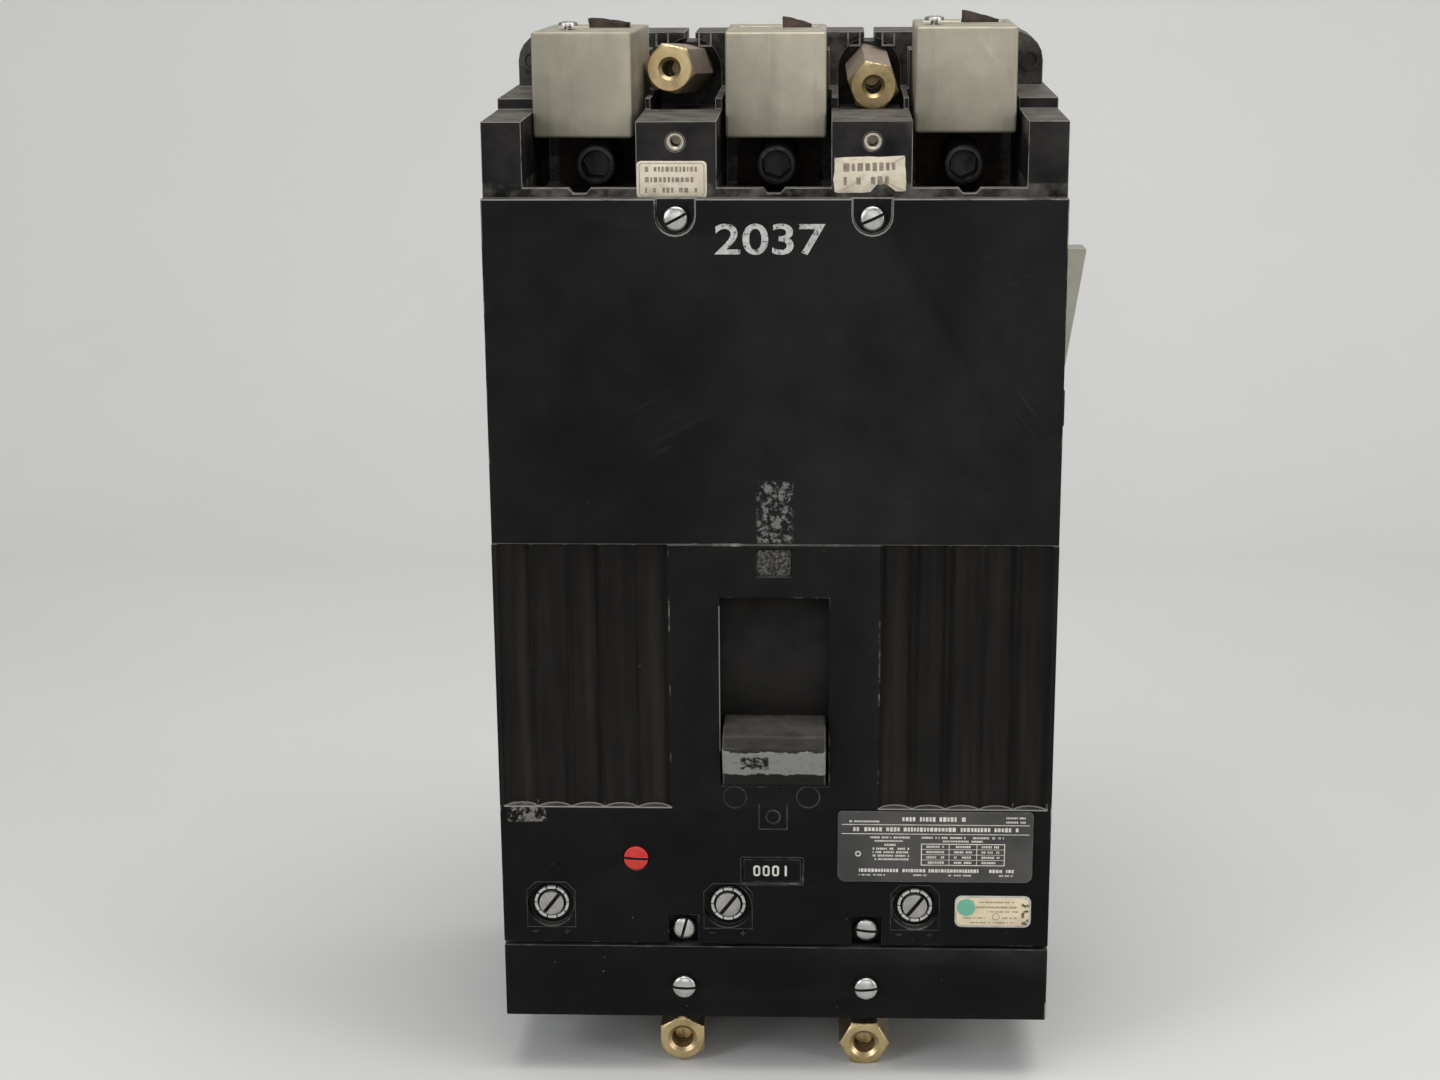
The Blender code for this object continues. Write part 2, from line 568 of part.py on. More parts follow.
def make_lug_cover():
    top = LOAD_EDGE - 1.4 * MM
    bottom = -POST_END - GAP
    cover = box("load_lug_cover", (-HALF_WIDTH, FRONT, bottom), (HALF_WIDTH, PLATE_BACK, top))
    wall = 3.4 * MM
    for pole in POLES:
        half = CHANNEL_WIDTH / 2 - 2 * MM
        low = (pole - half, FRONT + wall, bottom + wall)
        cut(cover, box("relief", low, (pole + half, PLATE_BACK + LAP, top - wall)))
    for x in (-SCREW_X, SCREW_X):
        start, end = (x, FRONT - LAP, LUG_COVER_SCREW_Z), (x, PLATE_BACK + LAP, LUG_COVER_SCREW_Z)
        cut(cover, rod("screw_hole", start, end, SCREW_SHANK[0] + GAP, 16))
    finish(cover, "black_phenolic")


# ---- Screws, plates and terminals
def make_screw(name, x, z, seat, slot_turn):
    """A slotted round-head screw whose head lies on seat."""
    radius, height = SCREW_HEAD
    seat -= GAP
    screw = rod(name, (x, seat, z), (x, seat - height, z), radius)
    join(screw, rod("shank", (x, seat - LAP, z), (x, seat + SCREW_SHANK[1], z), SCREW_SHANK[0], 14))
    width, depth = DRIVER_SLOT
    slot = box("driver_slot", (-10 * MM, 0, -width / 2), (10 * MM, depth + LAP, width / 2))
    slot.location = (x, seat - height - LAP, z)
    slot.rotation_euler.y = math.radians(slot_turn)
    cut(screw, slot)
    finish(screw, "zinc")


def make_screws():
    seat = FRONT + NOTCH_DEPTH
    make_screw("cover_screw_upper_left", -SCREW_X, COVER_SCREW_Z[1], seat + UPPER_NOTCH_DROP, -28)
    make_screw("cover_screw_upper_right", SCREW_X, COVER_SCREW_Z[1], seat + UPPER_NOTCH_DROP, -24)
    make_screw("cover_screw_lower_left", -SCREW_X, -COVER_SCREW_Z[-1], seat, -75)
    make_screw("cover_screw_lower_right", SCREW_X, -COVER_SCREW_Z[-1], seat, 6)
    make_screw("lug_cover_screw_left", -SCREW_X, LUG_COVER_SCREW_Z, FRONT, 2)
    make_screw("lug_cover_screw_right", SCREW_X, LUG_COVER_SCREW_Z, FRONT, -4)


def make_inserts():
    for name, x in (("left", -SCREW_X), ("right", SCREW_X)):
        front, back = POST_FRONT + 0.2 * MM, POST_FRONT + 12 * MM
        insert = rod(f"lug_cover_insert_{name}", (x, front, INSERT_Z), (x, back, INSERT_Z), INSERT_RADIUS)
        bore = (x, front - LAP, INSERT_Z), (x, back - 2 * MM, INSERT_Z)
        cut(insert, rod("bore", *bore, INSERT_RADIUS - 1.4 * MM, 14))
        finish(insert, "brass")


def make_plates():
    for name, size, place, seat, look in (
        ("nameplate", NAMEPLATE, NAMEPLATE_PLACE, FRONT, "printed_metal"),
        (
            "rating_plate",
            (WINDOW[0] - 2 * GAP, WINDOW[1] - 2 * GAP, 0.6 * MM),
            WINDOW_PLACE,
            FRONT + WINDOW[2],
            "black_phenolic",
        ),
    ):
        (wide, high, thick), (x, z) = size, place
        low = (x - wide / 2, seat - GAP - thick, z - high / 2)
        finish(box(name, low, (x + wide / 2, seat - GAP, z + high / 2)), look)


def make_lugs():
    wide, deep, high = LUG
    slot_wide, slot_deep, slot_high = LUG_SLOT
    for name, pole, lift, turn in zip(POLE_NAMES, POLES, LUG_LIFTS, LUG_TURNS):
        top = LUG_BOTTOM + lift + high
        middle = Vector((pole, (LUG_FRONT + LUG_BACK) / 2, top))
        forward = Vector((0, -wide / 2 * math.sin(math.radians(abs(turn))), 0))
        place = Matrix.Translation(middle + forward) @ Matrix.Rotation(math.radians(turn), 4, "Z")
        place = place @ Matrix.Translation(-middle)
        lug = box(
            f"line_lug_{name}",
            (pole - wide / 2, LUG_FRONT, top - high),
            (pole + wide / 2, LUG_BACK, top),
        )
        back = LUG_BACK - LUG_SLOT_BACK
        low = (pole - slot_wide / 2, back - slot_deep, top - slot_high)
        cut(lug, box("conductor_slot", low, (pole + slot_wide / 2, back, top + LAP)))
        if name in TAP_PLACES:
            x, y = pole + TAP_PLACES[name], LUG_FRONT + TAP_DEPTH
            cut(lug, rod("tap_hole", (x, y, top - 10 * MM), (x, y, top + LAP), TAP_HOLE, 14))
            radius, height = TAP_SCREW_HEAD
            foot, stand = top - 8 * MM, top + TAP_SCREW_STAND
            screw = rod(f"lug_tap_screw_{name}", (x, y, foot), (x, y, stand), TAP_HOLE - GAP, 14)
            join(screw, rod("head", (x, y, stand - height), (x, y, stand), radius))
            half = radius + LAP
            low = (x - half, y - DRIVER_SLOT[0] / 2, stand - 0.9 * MM)
            cut(screw, box("driver_slot", low, (x + half, y + DRIVER_SLOT[0] / 2, stand + LAP)))
            shift_with_helpers(screw, place)
            finish(screw, "zinc")
        shift_with_helpers(lug, place)
        finish(lug, "tin_plate")


def make_straps():
    wide, thick = STRAP
    contact_front = CROSSBAR_AXIS.y + CONTACT_ARM[1] / 2 + CONTACT_PAD[1] + GAP
    for name, pole, shift in zip(POLE_NAMES, POLES, BOLT_SHIFTS):
        for end, side, inner in (
            ("line", 1, CONTACT_Z - 8 * MM),
            ("load", -1, -(TRIP_UNIT_TOP - 2 * MM)),
        ):
            low, high = sorted((side * inner, side * (HALF_HEIGHT - 8 * MM)))
            strap = box(
                f"{end}_terminal_{name}",
                (pole - wide / 2, STRAP_FRONT, low),
                (pole + wide / 2, STRAP_BACK, high),
            )
            bolt_x = pole + (shift if side > 0 else 0)
            hole = (bolt_x, STRAP_FRONT - LAP, side * BOLT_Z), (bolt_x, STRAP_BACK + LAP, side * BOLT_Z)
            cut(strap, rod("bolt_hole", *hole, BOLT_SHANK + GAP, 16))
            if side > 0:
                half_x, half_z = CONTACT_PAD[0] / 2, CONTACT_PAD[2] / 2
                low = (pole - half_x, contact_front, CONTACT_Z - half_z)
                back = STRAP_FRONT + LAP
                join(strap, box("fixed_contact", low, (pole + half_x, back, CONTACT_Z + half_z)))
            finish(strap, "copper")
        x, z, seat = pole + shift, BOLT_Z, STRAP_FRONT - GAP
        bolt = rod(f"terminal_bolt_{name}", (x, -BOLT_FRONT, z), (x, seat, z), BOLT_HEAD_RADIUS)
        join(bolt, rod("shank", (x, seat - LAP, z), (x, -17 * MM, z), BOLT_SHANK, 16))
        socket, depth = BOLT_SOCKET
        start, end = (x, -BOLT_FRONT - LAP, z), (x, depth - BOLT_FRONT, z)
        cut(bolt, rod("socket", start, end, socket, 16))
        finish(bolt, "black_steel")


def make_standoffs():
    corner = HEX_FLATS / math.sqrt(3)
    back = -FLANGE_DEPTH + COUNTERBORE[1] - 2 * MM
    for name, x, lean in zip(("left", "right"), (-SCREW_X, SCREW_X), UPPER_HEX_LEAN):
        start = Vector((x, back, UPPER_HEX_Z))
        along = Vector((lean[0], -HEX_LENGTH, lean[1])).normalized() * HEX_LENGTH
        hexagon = rod(f"mounting_standoff_upper_{name}", start, start + along, corner, 6, 12)
        bore = start + along * 0.35, start + along * 1.02
        cut(hexagon, rod("bore", *bore, UPPER_HEX_BORE, 16))
        finish(hexagon, "brass")
    for name, x, on_corner in zip(("left", "right"), LOWER_HEX_X, (True, False)):
        drop = corner if on_corner else HEX_FLATS / 2
        z = -HALF_HEIGHT + drop
        front, back = -LOWER_HEX_FRONT, -LOWER_HEX_FRONT + LOWER_HEX_LENGTH
        spin = 0 if on_corner else 90
        hexagon = rod(f"mounting_standoff_lower_{name}", (x, back, z), (x, front, z), corner, 6, spin)
        bore = (x, front - LAP, z), (x, back + LAP, z)
        cut(hexagon, rod("bore", *bore, STUD_RADIUS + GAP, 16))
        finish(hexagon, "brass")
        tip = front + STUD_INSET
        stud = rod(f"mounting_stud_{name}", (x, tip, z), (x, -3 * MM, z), STUD_RADIUS, 16)
        low = (x - 0.6 * MM, tip - LAP, z - 6 * MM)
        cut(stud, box("driver_slot", low, (x + 0.6 * MM, tip + 1.6 * MM, z + 6 * MM)))
        finish(stud, "brass")
        hole = (x, -FLANGE_DEPTH - LAP, z), (x, LAP, z)
        cut(bpy.data.objects["base_case"], rod("stud_hole", *hole, STUD_RADIUS + GAP, 16))


def make_bracket():
    """A sheet bracket on the right side: foot against the case, tapered plate behind the foot."""
    side, front = HALF_WIDTH + GAP, -BRACKET_DEPTH
    top, bottom = BRACKET_TOP, BRACKET_TOP - BRACKET_LENGTH
    sheet = BRACKET_SHEET
    foot = (side, front - BRACKET_FOOT_DEPTH, bottom)
    bracket = box("side_bracket", foot, (side + sheet, front + sheet / 2, top))
    root = side + sheet / 4
    outline = [
        (root, bottom + LAP),
        (side + BRACKET_FOOT, bottom + LAP),
        (side + BRACKET_REACH, top - sheet),
        (side + BRACKET_REACH, top - sheet / 4),
        (root, top - sheet / 4),
    ]
    join(bracket, plate("face", outline, "Y", front, front + sheet))
    low = (side + sheet / 2, front + sheet / 4, top - sheet)
    join(bracket, box("rim", low, (side + BRACKET_REACH - sheet / 4, front + 9 * MM, top - sheet / 8)))
    y, z = front - 13 * MM, top - 24 * MM
    hole = (side - LAP, y, z), (side + sheet + LAP, y, z)
    cut(bracket, rod("hole", *hole, 2.5 * MM, 16))
    finish(bracket, "grey_paint")
    seat = side + sheet + GAP
    screw = rod("side_bracket_screw", (seat, y, z), (seat + 3 * MM, y, z), 4.5 * MM, 6)
    join(screw, rod("shank", (side - 7 * MM, y, z), (seat + LAP, y, z), 2.2 * MM, 14))
    finish(screw, "zinc")
    hole = (side - 8 * MM, y, z), (side + LAP, y, z)
    cut(bpy.data.objects["base_case"], rod("bracket_hole", *hole, 2.5 * MM, 14))
    low = (side, front - 20 * MM, bottom - 15 * MM)
    finish(box("side_lead_block", low, (side + 6 * MM, front, bottom - GAP)), "black_phenolic")


# ---- Handle
def polar(radius, degrees):
    """Y,Z of a point at this angle above straight out, from the handle's pivot."""
    turn = math.radians(degrees)
    return (PIVOT.y - radius * math.cos(turn), PIVOT.z + radius * math.sin(turn))


def make_handle():
    outer, inner = SHIELD_RADIUS, SHIELD_RADIUS - SHIELD_WALL
    half = SHIELD_HALF_ANGLE
    steps = [half - 2 * half * i / 20 for i in range(21)]
    outline = [polar(outer, a) for a in steps] + [polar(inner, a) for a in reversed(steps)]
    handle = plate("handle", outline, "X", -SHIELD_WIDTH / 2, SHIELD_WIDTH / 2)
    grip = [polar(HANDLE_REACH - short * MM, a) for short, a in GRIP]
    grip = [polar(outer - LAP, GRIP_ROOT[0]), *grip, polar(outer - LAP, GRIP_ROOT[1])]
    join(handle, plate("grip", grip, "X", -HANDLE_WIDTH / 2, HANDLE_WIDTH / 2))
    hang(handle, PIVOT, -HANDLE_OFF)
    finish(handle, "black_phenolic")

    inner -= GAP
    half_yoke = YOKE_INNER / 2
    arms = []
    for side in (-1, 1):
        low, high = sorted((side * half_yoke, side * (half_yoke + YOKE_PLATE)))
        outline = arc((PIVOT.y, PIVOT.z), 6 * MM, -90, 90, 8)
        outline += [(PIVOT.y - inner + LAP, PIVOT.z + 6 * MM), (PIVOT.y - inner + LAP, PIVOT.z - 6 * MM)]
        arms.append(plate(f"yoke_arm_{side}", outline, "X", low, high))
        start = (side * half_yoke, PIVOT.y, PIVOT.z)
        end = (side * (FRAME_INNER / 2 + FRAME_PLATE - GAP), PIVOT.y, PIVOT.z)
        arms.append(rod(f"trunnion_{side}", start, end, TRUNNION, 16))
    wide = half_yoke + YOKE_PLATE
    front = PIVOT.y - inner + LAP
    yoke = box("handle_yoke", (-wide, front, PIVOT.z - 6 * MM), (wide, front + 4 * MM, PIVOT.z + 6 * MM))
    join(yoke, *arms)
    hang(yoke, PIVOT, -HANDLE_OFF)
    finish(yoke, "steel")


# ---- Contacts and toggle
def turned(offset, degrees):
    """A Y,Z offset turned about +X."""
    turn = math.radians(degrees)
    y, z = offset
    return Vector((y * math.cos(turn) - z * math.sin(turn), y * math.sin(turn) + z * math.cos(turn)))


def knee_of(foot, top):
    """Where the two links meet in front: the point a link's length from each end, by the cosine rule."""
    line = top - foot
    along = (CRADLE_LINK**2 - CROSSBAR_LINK**2 + line.length_squared) / (2 * line.length)
    out = math.sqrt(CRADLE_LINK**2 - along**2)
    direction = line.normalized()
    return foot + direction * along + Vector((-direction.y, direction.x)) * out


def pair(vector):
    return (vector.y, vector.z)


def make_crossbar():
    y, z = pair(CROSSBAR_AXIS)
    inner_x = HALF_WIDTH - SHELL_WALL
    end = inner_x - 3 * MM
    bar = rod("crossbar", (-end, y, z), (end, y, z), CROSSBAR_RADIUS, 18)
    journal = inner_x + 2 * MM
    join(bar, rod("journals", (-journal, y, z), (journal, y, z), CROSSBAR_JOURNAL, 16))
    hub = CONTACT_ARM[0] / 2
    for side in (-1, 1):
        low, high = sorted((side * (hub + 2 * MM), side * (hub + 5 * MM)))
        reach = y - LEVER_REACH
        join(bar, box(f"ear_{side}", (low, reach - 5 * MM, z - 5 * MM), (high, y, z + 5 * MM)))
    wide = hub + 4 * MM
    pin_y = y - LEVER_REACH
    join(bar, rod("lever_pin", (-wide, pin_y, z), (wide, pin_y, z), PIN, 12))
    hang(bar, CROSSBAR_AXIS, CONTACT_OPEN)
    finish(bar, "black_phenolic")

    wide, thick, reach = CONTACT_ARM
    pad_wide, pad_thick, pad_high = CONTACT_PAD
    for name, pole in zip(POLE_NAMES, POLES):
        arm = box(
            f"contact_arm_{name}",
            (pole - wide / 2, y - thick / 2, z + CROSSBAR_RADIUS + 2 * MM),
            (pole + wide / 2, y + thick / 2, z + reach),
        )
        hub, half = CROSSBAR_RADIUS + 4 * MM, wide / 2 - 0.2 * MM
        join(arm, rod("hub", (pole - half, y, z), (pole + half, y, z), hub, 20))
        low = (pole - pad_wide / 2, y + thick / 2 - LAP, z + reach - pad_high)
        high = (pole + pad_wide / 2, y + thick / 2 + pad_thick, z + reach)
        join(arm, box("moving_contact", low, high))
        bore = (pole - wide, y, z), (pole + wide, y, z)
        cut(arm, rod("crossbar_hole", *bore, CROSSBAR_RADIUS + GAP, 18))
        hang(arm, CROSSBAR_AXIS, CONTACT_OPEN)
        finish(arm, "copper")


def link_outline(start, end, radius):
    """A bar with round ends between two Y,Z points."""
    heading = math.degrees(math.atan2(end.y - start.y, end.x - start.x))
    return arc(start, radius, heading + 90, heading + 270, 8) + arc(end, radius, heading - 90, heading + 90, 8)


def make_toggle():
    foot = Vector(pair(PIVOT)) + Vector(CRADLE_TOP)
    top = Vector(pair(CROSSBAR_AXIS)) + turned((-LEVER_REACH, 0), CONTACT_OPEN)
    knee = knee_of(foot, top)
    half = LINK_PLATE / 2
    link = plate("cradle_link", link_outline(foot, knee, 5.2 * MM), "X", -half, half)
    for point, name in ((foot, "foot_hole"), (knee, "knee_hole")):
        cut(link, rod(name, (-1 * half - LAP, *point), (half + LAP, *point), PIN + SLIDE, 12))
    hang(link, (0, *foot))
    finish(link, "steel")

    inner, outer = half + LAP, half + 4 * MM
    along = (top - knee).normalized()
    middle = (knee + top) / 2
    bridge = link_outline(middle - along * LAP, middle + along * LAP, 3 * MM)
    fork = plate("crossbar_link", bridge, "X", -outer, outer)
    for side in (-1, 1):
        low, high = sorted((side * inner, side * outer))
        join(fork, plate(f"cheek_{side}", link_outline(knee, top, 6.4 * MM), "X", low, high))
    wide = outer + LAP
    cut(fork, rod("top_hole", (-wide, *top), (wide, *top), PIN + SLIDE, 12))
    slot = link_outline(knee - along * KNEE_SLOT[0], knee + along * KNEE_SLOT[1], PIN + KNEE_SLOT[2])
    cut(fork, plate("knee_slot", slot, "X", -wide, wide))
    hang(fork, (0, *top))
    finish(fork, "steel")

    reach = 13.5 * MM
    pin = rod("knee_pin", (-reach, *knee), (reach, *knee), PIN, 12)
    hang(pin, (0, *foot))
    finish(pin, "steel")

    anchor = Vector(pair(PIVOT)) + turned((-(SHIELD_RADIUS - SHIELD_WALL - 6 * MM), 0), -HANDLE_OFF)
    pull = (anchor - knee).normalized()
    start, end = knee + pull * (PIN + 0.6 * MM), anchor - pull * 1.2 * MM
    for name, x in (("left", -11.2 * MM), ("right", 11.2 * MM)):
        spring = coil(f"toggle_spring_{name}", (x, *start), (x, *end), 2.2 * MM, 1.0 * MM, 4)
        finish(spring, "steel")


def make_cradle():
    y, z = pair(PIVOT)
    outline = [(30, -31), (-23, -27), (-32.6, -25), (-32.6, -22), (-28, -22), (-19, -13), (30, -21)]
    low, high = LINK_PLATE / 2 + LAP, LINK_PLATE / 2 + 4 * MM
    points = [(y + u * MM, z + v * MM) for u, v in outline]
    cradle = plate("cradle", points, "X", low, high)
    reach = FRAME_INNER / 2 + FRAME_PLATE - GAP
    back = Vector((y, z)) + Vector(CRADLE_PIVOT)
    join(cradle, rod("pivot_pin", (-reach, *back), (reach, *back), 3 * MM, 14))
    foot = Vector((y, z)) + Vector(CRADLE_TOP)
    join(cradle, rod("link_pin", (-LINK_PLATE, *foot), (high - LAP, *foot), PIN, 12))
    finish(cradle, "steel")

    pivot = Vector((y, z)) + Vector(LATCH_PIVOT)
    outline = [
        (-29, -37.5), (-37.5, -27), (-37.5, -17), (-30, -17), (-30, -20), (-34, -20),
        (-34, -26.5), (-25, -30), (-16, -34.5), (-16, -37.3),
    ]
    points = [(y + u * MM, z + v * MM) for u, v in outline]
    latch = plate("trip_latch", points, "X", low, high)
    join(latch, rod("latch_pin", (-reach, *pivot), (reach, *pivot), PIN, 14))
    hang(latch, (0, *pivot))
    finish(latch, "steel")


def make_frame():
    """A U of sheet: two side plates on a back plate, with holes for the handle, cradle and latch."""
    y, z = pair(PIVOT)
    back = -REAR_WALL - GAP
    inner = FRAME_INNER / 2
    outer = inner + FRAME_PLATE
    top, bottom = z + 17.5 * MM, z - 44.5 * MM
    frame = box("mechanism_frame", (-outer, back - 3 * MM, bottom), (outer, back, top))
    outline = [(back, bottom), (y - 25 * MM, bottom), (y - 35 * MM, bottom + 12 * MM), (y - 35 * MM, top), (back, top)]
    for side in (-1, 1):
        low, high = sorted((side * inner, side * outer))
        join(frame, plate(f"frame_side_{side}", outline, "X", low, high))
    for name, (du, dv), radius in (
        ("trunnion_hole", (0, 0), TRUNNION),
        ("cradle_hole", CRADLE_PIVOT, 3 * MM),
        ("latch_hole", LATCH_PIVOT, PIN),
    ):
        start, end = (-outer - LAP, y + du, z + dv), (outer + LAP, y + du, z + dv)
        cut(frame, rod(name, start, end, radius + SLIDE, 16))
    finish(frame, "steel")


# ---- Trip unit
def make_trip_unit():
    wide = HALF_WIDTH - SHELL_WALL - 2.5 * MM
    low = (-wide, -TRIP_UNIT_FRONT, -BLOCK_INNER + LAP)
    unit = box("trip_unit_housing", low, (wide, -TRIP_UNIT_BACK, TRIP_UNIT_TOP))
    for x in DIAL_PLACES:
        hole = (x, -TRIP_UNIT_FRONT - LAP, DIAL_Z), (x, -TRIP_UNIT_FRONT + 12 * MM, DIAL_Z)
        cut(unit, rod("dial_socket", *hole, DIAL_SHAFT + SLIDE, 14))
    x, z = BUTTON_PLACE
    y = PIVOT.y + TRIP_BAR[0]
    low = (x - 7 * MM, -TRIP_UNIT_FRONT - LAP, z - 6 * MM)
    cut(unit, box("lever_pocket", low, (x + 7 * MM, y + 9 * MM, TRIP_UNIT_TOP + LAP)))
    finish(unit, "black_phenolic")

    bar_z = PIVOT.z + TRIP_BAR[1]
    bar = rod("trip_bar", (x - 9 * MM, y, bar_z), (20 * MM, y, bar_z), TRIP_BAR_RADIUS, 14)
    low = (x - 4 * MM, y - 3.5 * MM, z - 3 * MM)
    join(bar, box("paddle", low, (x + 4 * MM, y - LAP, bar_z + LAP)))
    near = LINK_PLATE / 2 + LAP
    low = (near, y - 2 * MM, bar_z)
    join(bar, box("cam", low, (near + 3 * MM, y + LAP, bar_z + 9.5 * MM)))
    hang(bar, (0, y, bar_z))
    finish(bar, "steel")

    front = FRONT - BUTTON_PROUD
    flange = PLATE_BACK + GAP
    tip = y - 3.5 * MM - GAP
    button = rod("trip_button", (x, front, z), (x, flange + 0.5 * MM, z), BUTTON_RADIUS, 24)
    join(button, rod("flange", (x, flange, z), (x, flange + 1.5 * MM, z), BUTTON_RADIUS + 1.5 * MM))
    join(button, rod("stem", (x, flange + LAP, z), (x, tip, z), 2 * MM, 12))
    width, depth = DRIVER_SLOT
    low = (x - 3.6 * MM, front - LAP, z - width / 2)
    cut(button, box("driver_slot", low, (x + 3.6 * MM, front + depth, z + width / 2)))
    hang(button, (x, front, z))
    finish(button, "red_plastic")
    start, end = (x, flange + 1.8 * MM, z), (x, -TRIP_UNIT_FRONT - BUTTON_TRAVEL - 0.5 * MM, z)
    finish(coil("trip_button_spring", start, end, 3.3 * MM, 0.9 * MM, 5), "steel")


def make_dials():
    radius, height = DIAL_KNOB
    back = FRONT + DIAL_WELL[1] - GAP
    for name, x in zip(POLE_NAMES, DIAL_PLACES):
        dial = rod(f"dial_{name}", (x, back - height, DIAL_Z), (x, back, DIAL_Z), radius, 24)
        shaft = (x, back - LAP, DIAL_Z), (x, -TRIP_UNIT_FRONT + 10 * MM, DIAL_Z)
        join(dial, rod("shaft", *shaft, DIAL_SHAFT, 14))
        slot = box("driver_slot", (-10 * MM, 0, -0.7 * MM), (10 * MM, 2 * MM, 0.7 * MM))
        slot.location = (x, back - height - 0.8 * MM, DIAL_Z)
        slot.rotation_euler.y = math.radians(-45)
        cut(dial, slot)
        finish(dial, "zinc")


def make_chutes():
    board = CHUTE_WIDTH / 2 + 3 * MM
    front = CROSSBAR_AXIS.y - 37 * MM
    for name, pole in zip(POLE_NAMES, POLES):
        chute = box(
            f"arc_chute_{name}",
            (pole - board, front, CHUTE_BOTTOM - 16 * MM),
            (pole - board + CHUTE_BOARD, -REAR_WALL - GAP, CHUTE_TOP + LAP),
        )
        low = (pole + board - CHUTE_BOARD, front, CHUTE_BOTTOM - 16 * MM)
        high = (pole + board, -REAR_WALL - GAP, CHUTE_TOP + LAP)
        join(chute, box("board", low, high))
        for i in range(CHUTE_PLATES):
            y = front + 4 * MM + i * CHUTE_PITCH
            half = board - CHUTE_BOARD / 2
            low = (pole - half, y, CHUTE_BOTTOM)
            join(chute, box("chute_plate", low, (pole + half, y + 2 * MM, CHUTE_TOP)))
        finish(chute, "fibre_board")


make_base()
make_cover()
make_lug_cover()
make_screws()
make_inserts()
make_plates()
make_lugs()
make_straps()
make_standoffs()
make_bracket()
make_handle()
make_crossbar()
make_toggle()
make_cradle()
make_frame()
make_trip_unit()
make_dials()
make_chutes()
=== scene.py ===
import json
import math

import bmesh
import bpy
import numpy as np
from mathutils import Matrix, Vector


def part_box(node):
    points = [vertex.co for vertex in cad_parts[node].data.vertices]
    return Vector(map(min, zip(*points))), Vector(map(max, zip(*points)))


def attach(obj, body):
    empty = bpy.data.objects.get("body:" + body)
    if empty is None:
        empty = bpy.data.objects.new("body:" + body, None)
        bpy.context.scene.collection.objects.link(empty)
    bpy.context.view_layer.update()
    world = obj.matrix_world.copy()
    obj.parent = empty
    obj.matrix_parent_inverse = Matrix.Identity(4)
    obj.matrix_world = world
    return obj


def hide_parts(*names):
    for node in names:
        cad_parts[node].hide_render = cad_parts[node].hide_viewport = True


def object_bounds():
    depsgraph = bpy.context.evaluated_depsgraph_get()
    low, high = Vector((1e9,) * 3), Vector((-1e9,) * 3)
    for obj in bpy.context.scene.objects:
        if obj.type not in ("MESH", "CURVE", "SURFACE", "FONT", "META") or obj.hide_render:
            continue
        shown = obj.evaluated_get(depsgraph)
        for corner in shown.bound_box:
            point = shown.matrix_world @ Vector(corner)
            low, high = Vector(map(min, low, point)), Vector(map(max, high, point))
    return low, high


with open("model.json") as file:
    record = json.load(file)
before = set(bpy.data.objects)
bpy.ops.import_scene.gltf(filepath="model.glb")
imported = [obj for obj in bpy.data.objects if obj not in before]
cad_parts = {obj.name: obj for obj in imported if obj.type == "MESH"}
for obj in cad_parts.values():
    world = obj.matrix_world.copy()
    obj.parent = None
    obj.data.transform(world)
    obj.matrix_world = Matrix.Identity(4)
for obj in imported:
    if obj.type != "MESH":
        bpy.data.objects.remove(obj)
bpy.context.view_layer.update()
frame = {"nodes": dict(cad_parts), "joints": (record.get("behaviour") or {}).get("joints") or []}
nodes = frame["nodes"]
mm = 0.001
print("frame loaded:", len(nodes), "CAD nodes")


# camera, floor and lights
cameraSetup = {
    "place": (20.5 * mm, -1007.0 * mm, 257.4 * mm),
    "pitchDown": 15.34,  # degrees
    "yawLeft": 2.17,
    "roll": -0.33,
    "lens": 61.05,
    "shift": (-0.0143, 0.0014),
}
studio = {
    "floorColour": (0.62, 0.62, 0.61),
    "floorReach": 2.6,  # metres each side
    "wallBack": 1.1,
    "wallHeight": 2.4,
    "bend": 0.5,
    "worldColour": (0.92, 0.96, 1.0),
    "worldStrength": 0.25,
    # name: place, aimed at, size, watts, colour
    "lamps": {
        "overhead": ((0.15, -0.30, 1.55), (0, -0.05, 0), (1.5, 0.9), 22, (1.0, 0.98, 0.95)),
        "leftSoft": ((-1.35, -1.25, 0.75), (0, -0.1, 0.0), (0.8, 1.1), 13.5, (0.96, 0.98, 1.0)),
        "rightSoft": ((1.5, -0.9, 0.55), (0, -0.1, 0.0), (0.6, 1.2), 9, (1.0, 0.97, 0.94)),
        "frontFill": ((0.1, -2.3, 0.55), (0, -0.1, 0.0), (1.6, 1.0), 9, (1.0, 1.0, 1.0)),
    },
}


def makeCamera(setup):
    data = bpy.data.cameras.new("studioCamera")
    data.lens = setup["lens"]
    data.sensor_width = 36
    data.shift_x, data.shift_y = setup["shift"]
    data.clip_start, data.clip_end = 0.05, 20
    camera = bpy.data.objects.new("studioCamera", data)
    bpy.context.scene.collection.objects.link(camera)
    # turned up from straight down, then round to the left, then rolled about its own line of sight
    turn = Matrix.Rotation(math.radians(setup["yawLeft"]), 4, "Z")
    tilt = Matrix.Rotation(math.radians(90 - setup["pitchDown"]), 4, "X")
    roll = Matrix.Rotation(math.radians(setup["roll"]), 4, "Z")
    camera.matrix_world = Matrix.Translation(setup["place"]) @ turn @ tilt @ roll
    bpy.context.scene.camera = camera


